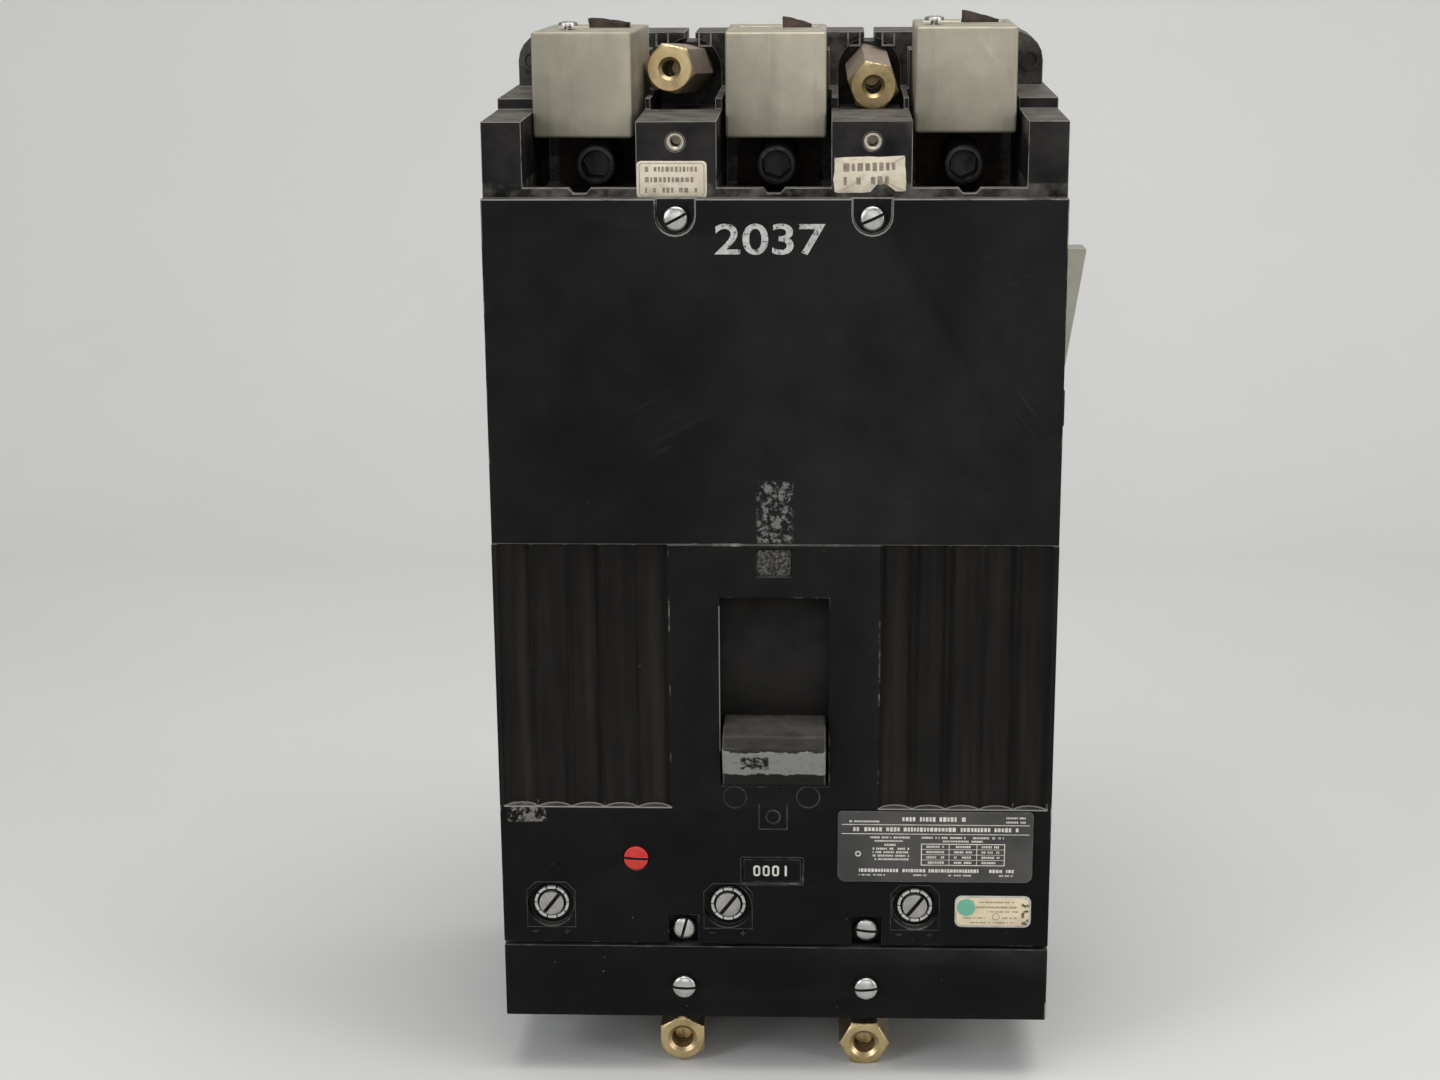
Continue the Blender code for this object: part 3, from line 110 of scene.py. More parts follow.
def makeLamps(setup):
    for name, (place, target, size, watts, colour) in setup["lamps"].items():
        data = bpy.data.lights.new(name, "AREA")
        data.shape = "RECTANGLE"
        data.size, data.size_y = size
        data.energy = watts
        data.color = colour
        lamp = bpy.data.objects.new(name, data)
        bpy.context.scene.collection.objects.link(lamp)
        lamp.location = place
        lamp.rotation_euler = (Vector(target) - Vector(place)).to_track_quat("-Z", "Y").to_euler()
    world = bpy.data.worlds.new("softWorld")
    world.use_nodes = True
    back = world.node_tree.nodes["Background"]
    back.inputs["Color"].default_value = (*setup["worldColour"], 1)
    back.inputs["Strength"].default_value = setup["worldStrength"]
    bpy.context.scene.world = world


makeCamera(cameraSetup)
makeLamps(studio)
bpy.context.scene.view_settings.view_transform = "Standard"


# node helpers
def newMaterial(name):
    material = bpy.data.materials.new(name)
    material.use_nodes = True
    return material, material.node_tree


# adds one node; an input that is a socket is linked, anything else is set. Returns an output socket
def put(tree, kind, inputs=None, output=0, **settings):
    node = tree.nodes.new("ShaderNode" + kind)
    for key, value in settings.items():
        setattr(node, key, value)
    for key, value in (inputs or {}).items():
        if isinstance(value, bpy.types.NodeSocket):
            tree.links.new(value, node.inputs[key])
        else:
            node.inputs[key].default_value = value
    return node.outputs[output]


def calc(tree, operation, a, b=0.0, c=0.0, clamp=False):
    return put(tree, "Math", {0: a, 1: b, 2: c}, operation=operation, use_clamp=clamp)


def times(tree, a, b):
    return calc(tree, "MULTIPLY", a, b)


def plus(tree, a, b, clamp=False):
    return calc(tree, "ADD", a, b, clamp=clamp)


def minus(tree, a, b):
    return calc(tree, "SUBTRACT", a, b)


def place(tree):
    return put(tree, "TexCoord", output="Object")


# noise in features per metre on Object coordinates, stretched along each axis
def noise(tree, scale, stretch=(1, 1, 1), detail=4.0, rough=0.55, shift=0.0, warp=0.0):
    spot = put(tree, "Mapping", {"Vector": place(tree), "Location": (shift, shift, shift), "Scale": stretch})
    settings = {"Vector": spot, "Scale": scale, "Detail": detail, "Roughness": rough, "Distortion": warp}
    return put(tree, "TexNoise", settings, output="Fac")


# smooth step: bottom below low, top above high
def ramp(tree, value, low, high, bottom=0.0, top=1.0):
    settings = {"Value": value, 1: low, 2: high, 3: bottom, 4: top}
    return put(tree, "MapRange", settings, interpolation_type="SMOOTHSTEP", clamp=True)


def mix(tree, share, under, over):
    under = (*under, 1) if isinstance(under, tuple) and len(under) == 3 else under
    over = (*over, 1) if isinstance(over, tuple) and len(over) == 3 else over
    return put(tree, "Mix", {0: share, 6: under, 7: over}, output=2, data_type="RGBA")


def axisParts(tree):
    spot = tree.nodes.new("ShaderNodeSeparateXYZ")
    tree.links.new(place(tree), spot.inputs[0])
    return spot.outputs


# 1 between low and high, falling to 0 over soft outside them
def within(tree, value, low, high, soft):
    rise = ramp(tree, value, low - soft, low)
    return times(tree, rise, ramp(tree, value, high, high + soft, 1.0, 0.0))


def patch(tree, xRange, zRange, soft):
    x, _, z = axisParts(tree)
    return times(tree, within(tree, x, *xRange, soft), within(tree, z, *zRange, soft))


# how far the surface faces along an axis of the frame: 1 straight along it, below 0 away from it
def facing(tree, axis):
    normal = tree.nodes.new("ShaderNodeSeparateXYZ")
    tree.links.new(put(tree, "NewGeometry", output="Normal"), normal.inputs[0])
    return normal.outputs["XYZ".index(axis)]


# 1 near a sharp edge: where the rounded normal leans away from the flat one
def edgeMask(tree, width):
    rounded = put(tree, "Bevel", {"Radius": width}, samples=4)
    flat = put(tree, "NewGeometry", output="Normal")
    lean = put(tree, "VectorMath", {0: rounded, 1: flat}, output="Value", operation="DOT_PRODUCT")
    return ramp(tree, lean, 0.80, 0.97, 1.0, 0.0)


# thin lines: a noise drawn out 60 times along one direction, kept only near its middle value
def scratches(tree, scale, angle, seed):
    turned = put(tree, "Mapping", {"Vector": place(tree), "Rotation": (0, math.radians(angle), 0)})
    drawn = put(tree, "Mapping", {"Vector": turned, "Location": (seed, seed, seed), "Scale": (1, 1, 0.016)})
    lines = put(tree, "TexNoise", {"Vector": drawn, "Scale": scale, "Detail": 2.0, "Roughness": 0.4},
                output="Fac")
    near = calc(tree, "ABSOLUTE", minus(tree, lines, 0.5))
    thin = ramp(tree, near, 0.0, 0.006, 1.0, 0.0)
    return times(tree, thin, ramp(tree, noise(tree, scale * 0.11, shift=seed), 0.55, 0.72))


# one finish: a base with slow mottling, then wear, dust and scratches in layers, each with its own share
plainFinish = {
    "colour": (0.02, 0.02, 0.02), "second": (0.03, 0.03, 0.03), "mottle": 60,
    "rough": 0.45, "roughSpread": 0.14, "metallic": 0.0, "specular": 0.5,
    "grain": 2600, "grainDepth": 0.00004,
    "scratch": 0.0, "scratchColour": (0.3, 0.3, 0.3),
    "dust": 0.0, "dustColour": (0.28, 0.26, 0.23),
    "wear": 0.0, "wearColour": (0.35, 0.34, 0.32), "wearWidth": 0.9 * mm,
}


# builds a material from the look; extra(tree, colour, rough, height) may add layers of its own
def finishMaterial(name, look, extra=None):
    look = {**plainFinish, **look}
    material, tree = newMaterial(name)
    slow = noise(tree, look["mottle"], detail=5, rough=0.6)
    colour = mix(tree, ramp(tree, slow, 0.32, 0.70), look["colour"], look["second"])
    rough = ramp(tree, noise(tree, look["mottle"] * 3, detail=4, shift=3.1), 0.25, 0.75,
                 look["rough"] - look["roughSpread"] / 2, look["rough"] + look["roughSpread"] / 2)
    height = noise(tree, look["grain"], detail=3)
    if look["wear"]:
        edge = edgeMask(tree, look["wearWidth"])
        broken = ramp(tree, noise(tree, 130, detail=6, rough=0.7, shift=7.7), 0.42, 0.60)
        share = times(tree, times(tree, edge, broken), look["wear"])
        colour = mix(tree, share, colour, look["wearColour"])
    if look["dust"]:
        up = ramp(tree, facing(tree, "Z"), 0.3, 0.95)
        patchy = ramp(tree, noise(tree, 95, detail=7, rough=0.7, shift=1.9), 0.30, 0.68, 0.35, 1.0)
        share = times(tree, times(tree, up, patchy), look["dust"])
        colour = mix(tree, share, colour, look["dustColour"])
        rough = plus(tree, rough, times(tree, share, 0.35), clamp=True)
    if look["scratch"]:
        lines = calc(tree, "MAXIMUM", scratches(tree, 170, 35, 0.3), scratches(tree, 120, -62, 2.2))
        share = times(tree, lines, look["scratch"])
        colour = mix(tree, share, colour, look["scratchColour"])
        height = minus(tree, height, times(tree, lines, 0.5))
    if extra:
        colour, rough, height = extra(tree, colour, rough, height)
    bump = put(tree, "Bump", {"Strength": 0.6, "Distance": look["grainDepth"], "Height": height})
    shader = tree.nodes["Principled BSDF"]
    tree.links.new(colour, shader.inputs["Base Color"])
    tree.links.new(rough, shader.inputs["Roughness"])
    tree.links.new(bump, shader.inputs["Normal"])
    shader.inputs["Metallic"].default_value = look["metallic"]
    shader.inputs["Specular IOR Level"].default_value = look["specular"]
    return material


# finishes
finishes = {
    "agedPhenolic": {
        "colour": (0.0030, 0.0030, 0.0034), "second": (0.0080, 0.0076, 0.0072), "mottle": 26, "rough": 0.38,
        "specular": 0.105, "dust": 0.5, "dustColour": (0.20, 0.185, 0.165), "scratch": 0.14,
        "scratchColour": (0.07, 0.07, 0.068), "wear": 0.3,
    },
    "tinPlate": {
        "colour": (0.385, 0.355, 0.270), "second": (0.31, 0.285, 0.220), "mottle": 46, "rough": 0.50,
        "metallic": 0.55, "scratch": 0.55, "scratchColour": (0.62, 0.61, 0.56), "wear": 0.5,
        "wearColour": (0.55, 0.54, 0.50), "grain": 1500, "grainDepth": 0.00006,
    },
    "brightZinc": {
        "colour": (0.56, 0.55, 0.53), "second": (0.42, 0.41, 0.39), "mottle": 240, "rough": 0.33,
        "metallic": 1.0, "scratch": 0.5, "scratchColour": (0.25, 0.24, 0.22), "grain": 3500,
    },
    "blackSteel": {
        "colour": (0.022, 0.022, 0.023), "second": (0.05, 0.047, 0.043), "mottle": 180, "rough": 0.45,
        "metallic": 0.75, "dust": 0.35, "wear": 0.5, "wearColour": (0.20, 0.19, 0.18),
    },
    "oiledSteel": {
        "colour": (0.30, 0.30, 0.31), "second": (0.20, 0.19, 0.185), "mottle": 120, "rough": 0.36,
        "metallic": 1.0, "scratch": 0.4, "scratchColour": (0.5, 0.5, 0.5),
    },
    "bareCopper": {
        "colour": (0.52, 0.26, 0.15), "second": (0.30, 0.14, 0.085), "mottle": 70, "rough": 0.42,
        "metallic": 1.0, "scratch": 0.35, "scratchColour": (0.70, 0.42, 0.28),
    },
    "grimyCopper": {
        "colour": (0.040, 0.024, 0.017), "second": (0.016, 0.012, 0.010), "mottle": 130, "rough": 0.6,
        "metallic": 0.4, "specular": 0.2, "dust": 0.3, "grain": 1200, "grainDepth": 0.0001,
    },
    # driver slots: painted near black, darker inside the slot than the head around it
    "darkSlotFill": {
        "colour": (0.030, 0.027, 0.023), "second": (0.012, 0.011, 0.010), "mottle": 500, "rough": 0.8,
        "specular": 0.1,
    },
    "tarnishedCopper": {
        "colour": (0.105, 0.072, 0.055), "second": (0.045, 0.036, 0.031), "mottle": 210, "rough": 0.55,
        "metallic": 0.8, "dust": 0.3, "grain": 1400, "grainDepth": 0.0001,
    },
    "redPlastic": {
        "colour": (0.56, 0.022, 0.018), "second": (0.44, 0.016, 0.013), "mottle": 300, "rough": 0.34,
        "wear": 0.4, "wearColour": (0.75, 0.30, 0.27), "wearWidth": 0.4 * mm, "grain": 4000,
    },
    "greyPaint": {
        "colour": (0.40, 0.385, 0.325), "second": (0.30, 0.285, 0.24), "mottle": 60, "rough": 0.5,
        "metallic": 0.15, "wear": 0.9, "wearColour": (0.52, 0.52, 0.49), "scratch": 0.5,
        "scratchColour": (0.5, 0.5, 0.47), "dust": 0.25,
    },
    "fibreBoard": {
        "colour": (0.42, 0.30, 0.20), "second": (0.33, 0.23, 0.15), "mottle": 160, "rough": 0.75,
        "grain": 900, "grainDepth": 0.00012,
    },
    "dialWhite": {
        "colour": (0.60, 0.59, 0.55), "second": (0.44, 0.43, 0.40), "mottle": 420, "rough": 0.5,
        "grain": 3000,
    },
    "plateInk": {
        "colour": (0.66, 0.64, 0.57), "second": (0.48, 0.46, 0.42), "mottle": 300, "rough": 0.5,
    },
    "greyPlate": {
        "colour": (0.040, 0.039, 0.037), "second": (0.072, 0.069, 0.064), "mottle": 40, "rough": 0.42,
        "metallic": 0.35, "scratch": 0.5, "scratchColour": (0.28, 0.27, 0.25), "wear": 0.9,
        "wearColour": (0.42, 0.41, 0.38), "wearWidth": 0.6 * mm,
    },
}
materials = {name: finishMaterial(name, look) for name, look in finishes.items()}
print("plain finishes made:", len(materials))


# brown dust in the flutes, a blacker lower face, and what is left of a label above the handle
def coverLayers(tree, colour, rough, height):
    x, _, z = axisParts(tree)
    side = within(tree, calc(tree, "ABSOLUTE", x), 40 * mm, 103 * mm, 1.5 * mm)
    flutes = times(tree, side, within(tree, z, -85.2 * mm, 17.5 * mm, 0.6 * mm))
    front = ramp(tree, facing(tree, "Y"), -0.9, -0.3, 1.0, 0.0)
    streak = ramp(tree, noise(tree, 260, stretch=(1, 1, 0.05), detail=5), 0.35, 0.75, 0.25, 1.0)
    share = times(tree, times(tree, flutes, front), times(tree, streak, 0.6))
    colour = mix(tree, share, colour, (0.026, 0.021, 0.017))
    rough = plus(tree, rough, times(tree, share, 0.18), clamp=True)
    lower = times(tree, ramp(tree, z, -84 * mm, -88 * mm), 0.9)
    cloud = ramp(tree, noise(tree, 30, detail=6, rough=0.65, shift=5.5), 0.3, 0.7, 0.3, 1.0)
    colour = mix(tree, times(tree, lower, cloud), colour, (0.0020, 0.0020, 0.0024))
    box = patch(tree, (-5.5 * mm, 6.0 * mm), (19.5 * mm, 41.0 * mm), 1.5 * mm)
    flake = ramp(tree, noise(tree, 420, detail=8, rough=0.75, shift=9.3), 0.49, 0.56)
    residue = times(tree, box, flake)
    colour = mix(tree, times(tree, residue, 0.8), colour, (0.17, 0.165, 0.155))
    pad = patch(tree, (-6.5 * mm, 6.5 * mm), (5.9 * mm, 16.3 * mm), 0.2 * mm)
    speck = ramp(tree, noise(tree, 800, detail=6, rough=0.8, shift=4.1), 0.42, 0.60)
    colour = mix(tree, times(tree, times(tree, pad, speck), 0.55), colour, (0.20, 0.19, 0.17))
    chip = times(tree, patch(tree, (-101 * mm, -88 * mm), (-91 * mm, -85.5 * mm), 1.2 * mm), flake)
    fleck = ramp(tree, noise(tree, 520, detail=3, rough=0.5, shift=11.7), 0.765, 0.80)
    colour = mix(tree, calc(tree, "MAXIMUM", chip, fleck), colour, (0.16, 0.15, 0.13))
    rough = plus(tree, rough, times(tree, residue, 0.3), clamp=True)
    return colour, rough, plus(tree, height, times(tree, residue, 1.5))


# the flange and the floor of the line end are grey with dust and rubbed, most of all low down, towards the
# back of the line end
def baseLayers(tree, colour, rough, height):
    _, y, z = axisParts(tree)
    deep = times(tree, ramp(tree, y, -60 * mm, -30 * mm), ramp(tree, z, 120 * mm, 170 * mm))
    cloud = ramp(tree, noise(tree, 110, detail=8, rough=0.72, shift=2.7), 0.36, 0.66)
    colour = mix(tree, times(tree, deep, times(tree, cloud, 0.6)), colour, (0.125, 0.116, 0.104))
    ends = times(tree, ramp(tree, z, 143 * mm, 150 * mm), 0.55)
    film = ramp(tree, noise(tree, 55, detail=7, rough=0.68, shift=7.9), 0.34, 0.68, 0.15, 1.0)
    colour = mix(tree, times(tree, ends, film), colour, (0.034, 0.030, 0.028))
    shelf = times(tree, within(tree, z, 139 * mm, 149.5 * mm, 1 * mm), 0.55)
    speck = ramp(tree, noise(tree, 170, detail=7, rough=0.6, shift=6.4), 0.36, 0.70)
    colour = mix(tree, times(tree, shelf, speck), colour, (0.16, 0.148, 0.13))
    return colour, rough, height


# moulded edges rubbed light in places, more at the line end and along the left of the handle opening; over
# the flutes they are held dark as painted shade
def edgeLayers(tree, colour, rough, height):
    x, _, z = axisParts(tree)
    broken = noise(tree, 75, detail=7, rough=0.7, shift=8.8)
    zone = ramp(tree, z, 120 * mm, 140 * mm, 0.0, 0.17)
    far = calc(tree, "ABSOLUTE", x)
    crescents = times(tree, ramp(tree, far, 38 * mm, 40 * mm),
                      within(tree, z, -87.4 * mm, -85.2 * mm, 0.3 * mm))
    # painted shade: the rubbed light is taken off the edges over the flutes, where the flute tops lie in
    # shadow
    flutesInShade = times(tree, ramp(tree, far, 39.8 * mm, 40.4 * mm), within(tree, z, -82 * mm, 22 * mm, 1 * mm))
    corner = patch(tree, (89 * mm, 106 * mm), (-174 * mm, -166 * mm), 1.5 * mm)
    extra = times(tree, calc(tree, "MAXIMUM", crescents, corner), 0.32)
    extra = minus(tree, extra, times(tree, flutesInShade, 0.5))
    zone = plus(tree, zone, extra)
    jamb = times(tree, patch(tree, (-21.5 * mm, -19.5 * mm), (-62 * mm, -6 * mm), 1 * mm), 0.30)
    level = plus(tree, broken, plus(tree, zone, jamb))
    rubbed = ramp(tree, level, 0.50, 0.70)
    colour = mix(tree, times(tree, rubbed, 0.8), colour, (0.24, 0.23, 0.215))
    rough = plus(tree, rough, times(tree, rubbed, 0.15), clamp=True)
    return colour, rough, height


phenolic = finishes["agedPhenolic"]
materials["coverPhenolic"] = finishMaterial("coverPhenolic", {**phenolic, "wear": 0.0}, coverLayers)
materials["basePhenolic"] = finishMaterial("basePhenolic", {**phenolic, "wear": 0.0, "dust": 0.75},
                                           baseLayers)
materials["rubbedEdge"] = finishMaterial("rubbedEdge", {**phenolic, "wear": 0.0, "dust": 0.5}, edgeLayers)


# pieces
# a finished mesh in the frame becomes a piece on its body, smooth except at its sharp edges
def addPiece(name, mesh, body, material, replaced=(), sharp=32):
    mesh.shade_smooth()
    mesh.set_sharp_from_angle(angle=math.radians(sharp))
    piece = bpy.data.objects.new(name, mesh)
    bpy.context.scene.collection.objects.link(piece)
    mesh.materials.clear()
    mesh.materials.append(materials[material])
    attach(piece, body)
    if replaced:
        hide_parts(*replaced)
    return piece


# a copy of a CAD shell, its loose triangles joined again, with every sharp edge rounded
def roundedShell(node, name, width, material, edgeMaterial=None):
    mesh = nodes[node].data.copy()
    work = bmesh.new()
    work.from_mesh(mesh)
    bmesh.ops.remove_doubles(work, verts=work.verts, dist=2e-6)
    bmesh.ops.dissolve_limit(
        work, angle_limit=math.radians(0.6), verts=work.verts, edges=work.edges, delimit={"NORMAL"}
    )
    work.to_mesh(mesh)
    work.free()
    piece = addPiece(name, mesh, "case", material, (node,), sharp=180)
    bevel = piece.modifiers.new("roundedEdges", "BEVEL")
    bevel.width = width
    bevel.segments = 2
    bevel.limit_method = "ANGLE"
    bevel.angle_limit = math.radians(31)
    bevel.use_clamp_overlap = False
    bevel.harden_normals = True
    if edgeMaterial:
        mesh.materials.append(materials[edgeMaterial])
        bevel.material = 1
    return piece


shells = {
    # node: piece, edge radius, face, edges
    "front_cover": ("coverShell", 0.40 * mm, "coverPhenolic", "rubbedEdge"),
    "base_case": ("baseShell", 0.24 * mm, "basePhenolic", "rubbedEdge"),
    "load_lug_cover": ("lugCoverShell", 0.45 * mm, "coverPhenolic", "rubbedEdge"),
}
for node, (name, width, face, edge) in shells.items():
    roundedShell(node, name, width, face, edgeMaterial=edge)
print("case shells made")


# surfaces
# one mesh of quads between neighbouring points of each rows x columns x 3 array. Wrapping joins the
# last line of points to the first. Doubles are merged, so that a row of equal points becomes a pole
def gridsMesh(name, grids, wrapRows=False, wrapColumns=False):
    points, quads, first = [], [], 0
    for grid in grids:
        rows, columns = grid.shape[:2]
        index = np.arange(rows * columns).reshape(rows, columns) + first
        index = np.vstack([index, index[:1]]) if wrapRows else index
        index = np.hstack([index, index[:, :1]]) if wrapColumns else index
        corners = [index[:-1, :-1], index[1:, :-1], index[1:, 1:], index[:-1, 1:]]
        quads.append(np.stack(corners, axis=-1).reshape(-1, 4))
        points.append(grid.reshape(-1, 3))
        first += rows * columns
    mesh = bpy.data.meshes.new(name)
    mesh.from_pydata(np.concatenate(points).tolist(), [], np.concatenate(quads).tolist())
    work = bmesh.new()
    work.from_mesh(mesh)
    bmesh.ops.remove_doubles(work, verts=work.verts, dist=1e-6)
    bmesh.ops.dissolve_degenerate(work, dist=1e-7, edges=work.edges)
    bmesh.ops.recalc_face_normals(work, faces=work.faces)
    work.to_mesh(mesh)
    work.free()
    return mesh


# closes both ends of a tube of rows with a point in the middle of the first and of the last row
def capped(grid):
    ends = [np.broadcast_to(row.mean(0), row.shape)[None] for row in (grid[0], grid[-1])]
    return np.concatenate([ends[0], grid, ends[1]])


# two unit vectors across a direction; for one along -Y they are +X and +Z
def acrossAxes(direction):
    axis = np.array(Vector(direction).normalized())
    guide = np.array((0, 0, 1.0)) if abs(axis[2]) < 0.9 else np.array((0, -1.0, 0))
    side = np.cross(guide, axis)
    side /= np.linalg.norm(side)
    return axis, side, np.cross(axis, side)


# turned work: start + along * axis + radius * (cos a, sin a) across it, a row for each value of along.
# radius may also differ by angle, as on a hexagon or a thread
def turned(start, direction, along, radius, count=48):
    axis, side, up = acrossAxes(direction)
    a = np.linspace(0, 2 * np.pi, count, endpoint=False)
    along, radius = np.asarray(along, float), np.asarray(radius, float)
    radius = radius[:, None] * np.ones(count) if radius.ndim == 1 else radius
    ring = np.cos(a)[:, None] * side + np.sin(a)[:, None] * up
    return np.array(start) + along[:, None, None] * axis + radius[..., None] * ring


# a screw thread: a triangle wave of the distance along plus the share of a turn, added to the radius
def threadRadius(radius, depth, pitch, along, count, sign=1.0):
    a = np.linspace(0, 1, count, endpoint=False)
    phase = (np.asarray(along)[:, None] / pitch + sign * a) % 1.0
    return radius + depth * (1 - np.abs(2 * phase - 1) * 2) / 2


# a hexagon in polar form: half its flats over the cosine of the angle from the nearest flat's middle
def hexRadius(halfFlats, count, vertexTurn=0.0):
    a = np.linspace(0, 2 * np.pi, count, endpoint=False) - math.radians(vertexTurn)
    return halfFlats / np.cos(a % (np.pi / 3) - np.pi / 6)


# a round head with a driver slot. Rows lie across the slot at u, columns along it at v = chord(u) sin
# t. The height over the seat is the rim's height + crown * sqrt(1 - (u2 + v2) / radius2), less the
# slot's depth in the rows inside it, and the first and last column drop to the seat
def slottedHead(centre, direction, radius, height, crown, slot, slotTurn, columns=25):
    width, depth = slot
    outer = np.linspace(0, np.pi / 2, 9)
    left = -radius * np.cos(outer)
    left = np.append(left[left < -width / 2 - 0.02 * mm], -width / 2)
    u = np.concatenate([left, [-width / 2, -width / 6, width / 6, width / 2], -left[::-1]])
    deep = np.zeros(len(u))
    deep[len(left):len(left) + 4] = depth
    chord = np.sqrt(np.maximum(radius**2 - u**2, 0))
    v = chord[:, None] * np.sin(np.linspace(-np.pi / 2, np.pi / 2, columns))
    inside = np.sqrt(np.clip(1 - (u[:, None] ** 2 + v**2) / radius**2, 0, 1))
    h = (height - crown) + crown * inside
    h = np.where(deep[:, None] > 0, height - depth, h)
    h = np.minimum(h, (height - crown) + crown * inside)
    u = np.broadcast_to(u[:, None], v.shape)
    u, v, h = (np.hstack([g[:, :1], g, g[:, -1:]]) for g in (u, v, h))
    h[:, 0] = h[:, -1] = 0
    axis, side, up = acrossAxes(direction)
    turn = math.radians(slotTurn)
    lengthways = math.cos(turn) * side - math.sin(turn) * up
    crossways = math.sin(turn) * side + math.cos(turn) * up
    spots = [g[..., None] * d for g, d in ((u, crossways), (v, lengthways), (h, axis))]
    return np.array(centre) + sum(spots)


# a closed outline whose corners are arcs: each arc's centre lies on the corner's bisector
def roundedOutline(corners, radii, steps=6):
    points = []
    count = len(corners)
    for i, radius in enumerate(radii):
        here, before, after = (np.array(corners[j % count], float) for j in (i, i - 1, i + 1))
        toBefore, toAfter = before - here, after - here
        toBefore, toAfter = toBefore / np.linalg.norm(toBefore), toAfter / np.linalg.norm(toAfter)
        half = math.acos(np.clip(toBefore @ toAfter, -1, 1)) / 2
        bisector = (toBefore + toAfter) / np.linalg.norm(toBefore + toAfter)
        centre = here + bisector * radius / math.sin(half)
        start = here + toBefore * radius / math.tan(half) - centre
        end = here + toAfter * radius / math.tan(half) - centre
        share = np.linspace(0, 1, steps)[:, None]
        spread = np.pi - 2 * half
        swing = np.sin((1 - share) * spread) * start + np.sin(share * spread) * end
        points.append(centre + swing / math.sin(spread))
    return np.concatenate(points)


# the outline moved inwards along its own normals by each amount: amounts x points x 2
def inset(outline, amounts):
    ahead, behind = np.roll(outline, -1, axis=0), np.roll(outline, 1, axis=0)
    tangent = ahead - behind
    tangent /= np.linalg.norm(tangent, axis=1)[:, None]
    normal = np.stack([-tangent[:, 1], tangent[:, 0]], axis=1)
    x, z = outline[:, 0], outline[:, 1]
    area = np.sum(x * np.roll(z, -1) - np.roll(x, -1) * z)
    normal *= np.sign(area)
    return outline[None] + np.asarray(amounts)[:, None, None] * normal[None]


# a flat piece from low to high along an axis, its rim rounded: the outline moves in by edge -
# sqrt(edge2 - d2) where the row is d past the start of the rounding
def slab(outline, low, high, edge, axis="Y", steps=4):
    d = edge * np.sin(np.linspace(0, np.pi / 2, steps))
    inwards = edge - np.sqrt(np.maximum(edge**2 - d**2, 0))
    along = np.concatenate([(low + edge - d)[::-1], high - edge + d])
    rows = inset(outline, np.concatenate([inwards[::-1], inwards]))
    first, second = rows[..., 0], rows[..., 1]
    level = np.broadcast_to(along[:, None], first.shape)
    order = {"X": (level, first, second), "Y": (first, level, second), "Z": (first, second, level)}[axis]
    return capped(np.stack(order, axis=-1))


def rectangle(centre, size, radius):
    (x, z), (wide, high) = centre, (size[0] / 2, size[1] / 2)
    corners = [(x - wide, z - high), (x + wide, z - high), (x + wide, z + high), (x - wide, z + high)]
    return roundedOutline(corners, [radius] * 4, 5)


# a raised line on the front: a square section carried along an X, Z path with mitred corners
def ridge(path, width, low, high, closed=True):
    path = np.array(path, float)
    if closed:
        ahead, behind = np.roll(path, -1, axis=0) - path, path - np.roll(path, 1, axis=0)
    else:
        step = np.diff(path, axis=0)
        ahead, behind = np.vstack([step, step[-1:]]), np.vstack([step[:1], step])
    ahead /= np.linalg.norm(ahead, axis=1)[:, None]
    behind /= np.linalg.norm(behind, axis=1)[:, None]
    middle = ahead + behind
    middle /= np.linalg.norm(middle, axis=1)[:, None]
    normal = np.stack([-middle[:, 1], middle[:, 0]], axis=1)
    reach = width / 2 / np.maximum(np.sum(middle * ahead, axis=1), 0.4)
    outer, inner = path + normal * reach[:, None], path - normal * reach[:, None]
    section = [(outer, low), (outer, high), (inner, high), (inner, low)]
    points = [np.stack([p[:, 0], np.full(len(p), y), p[:, 1]], axis=-1) for p, y in section]
    grid = np.stack(points, axis=1)
    return np.concatenate([grid, grid[:1]]) if closed else capped(grid)


def circle(centre, radius, count=40, start=0.0, end=360.0):
    a = np.radians(np.linspace(start, end, count, endpoint=abs(end - start) < 359.9))
    return np.stack([centre[0] + radius * np.cos(a), centre[1] + radius * np.sin(a)], axis=-1)


# a node's middle, lowest and highest corner as arrays
def boxAt(node):
    low, high = (np.array(corner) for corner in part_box(node))
    return (low + high) / 2, low, high


# front centre, direction to the back and length of a straight bar, from its longest principal direction
def barAxis(node):
    spots = np.array([v.co for v in nodes[node].data.vertices])
    spots = np.unique(np.round(spots, 6), axis=0)
    middle = (spots.min(0) + spots.max(0)) / 2
    direction = np.linalg.svd(spots - spots.mean(0), full_matrices=False)[2][0]
    direction = direction * np.sign(direction[1])
    reach = (spots - middle) @ direction
    start = middle + direction * reach.min()
    return start, direction, reach.max() - reach.min()


# standoffs and studs
hexBars = {
    "halfFlats": 8.6 * mm,
    "upper": {"bore": 3.1 * mm, "mouth": 1.3 * mm, "threadDepth": 0.42 * mm, "pitch": 1.25 * mm,
              "threaded": 16 * mm},
    "lower": {"bore": 4.3 * mm, "mouth": 1.5 * mm, "threadDepth": 0.25 * mm, "pitch": 1.25 * mm,
              "threaded": 8 * mm},
    # node ending: vertex angle from +X
    "vertexTurn": {"upper_left": 12.0, "upper_right": 12.0, "lower_left": 90.0, "lower_right": 0.0},
    "sides": 96,
}


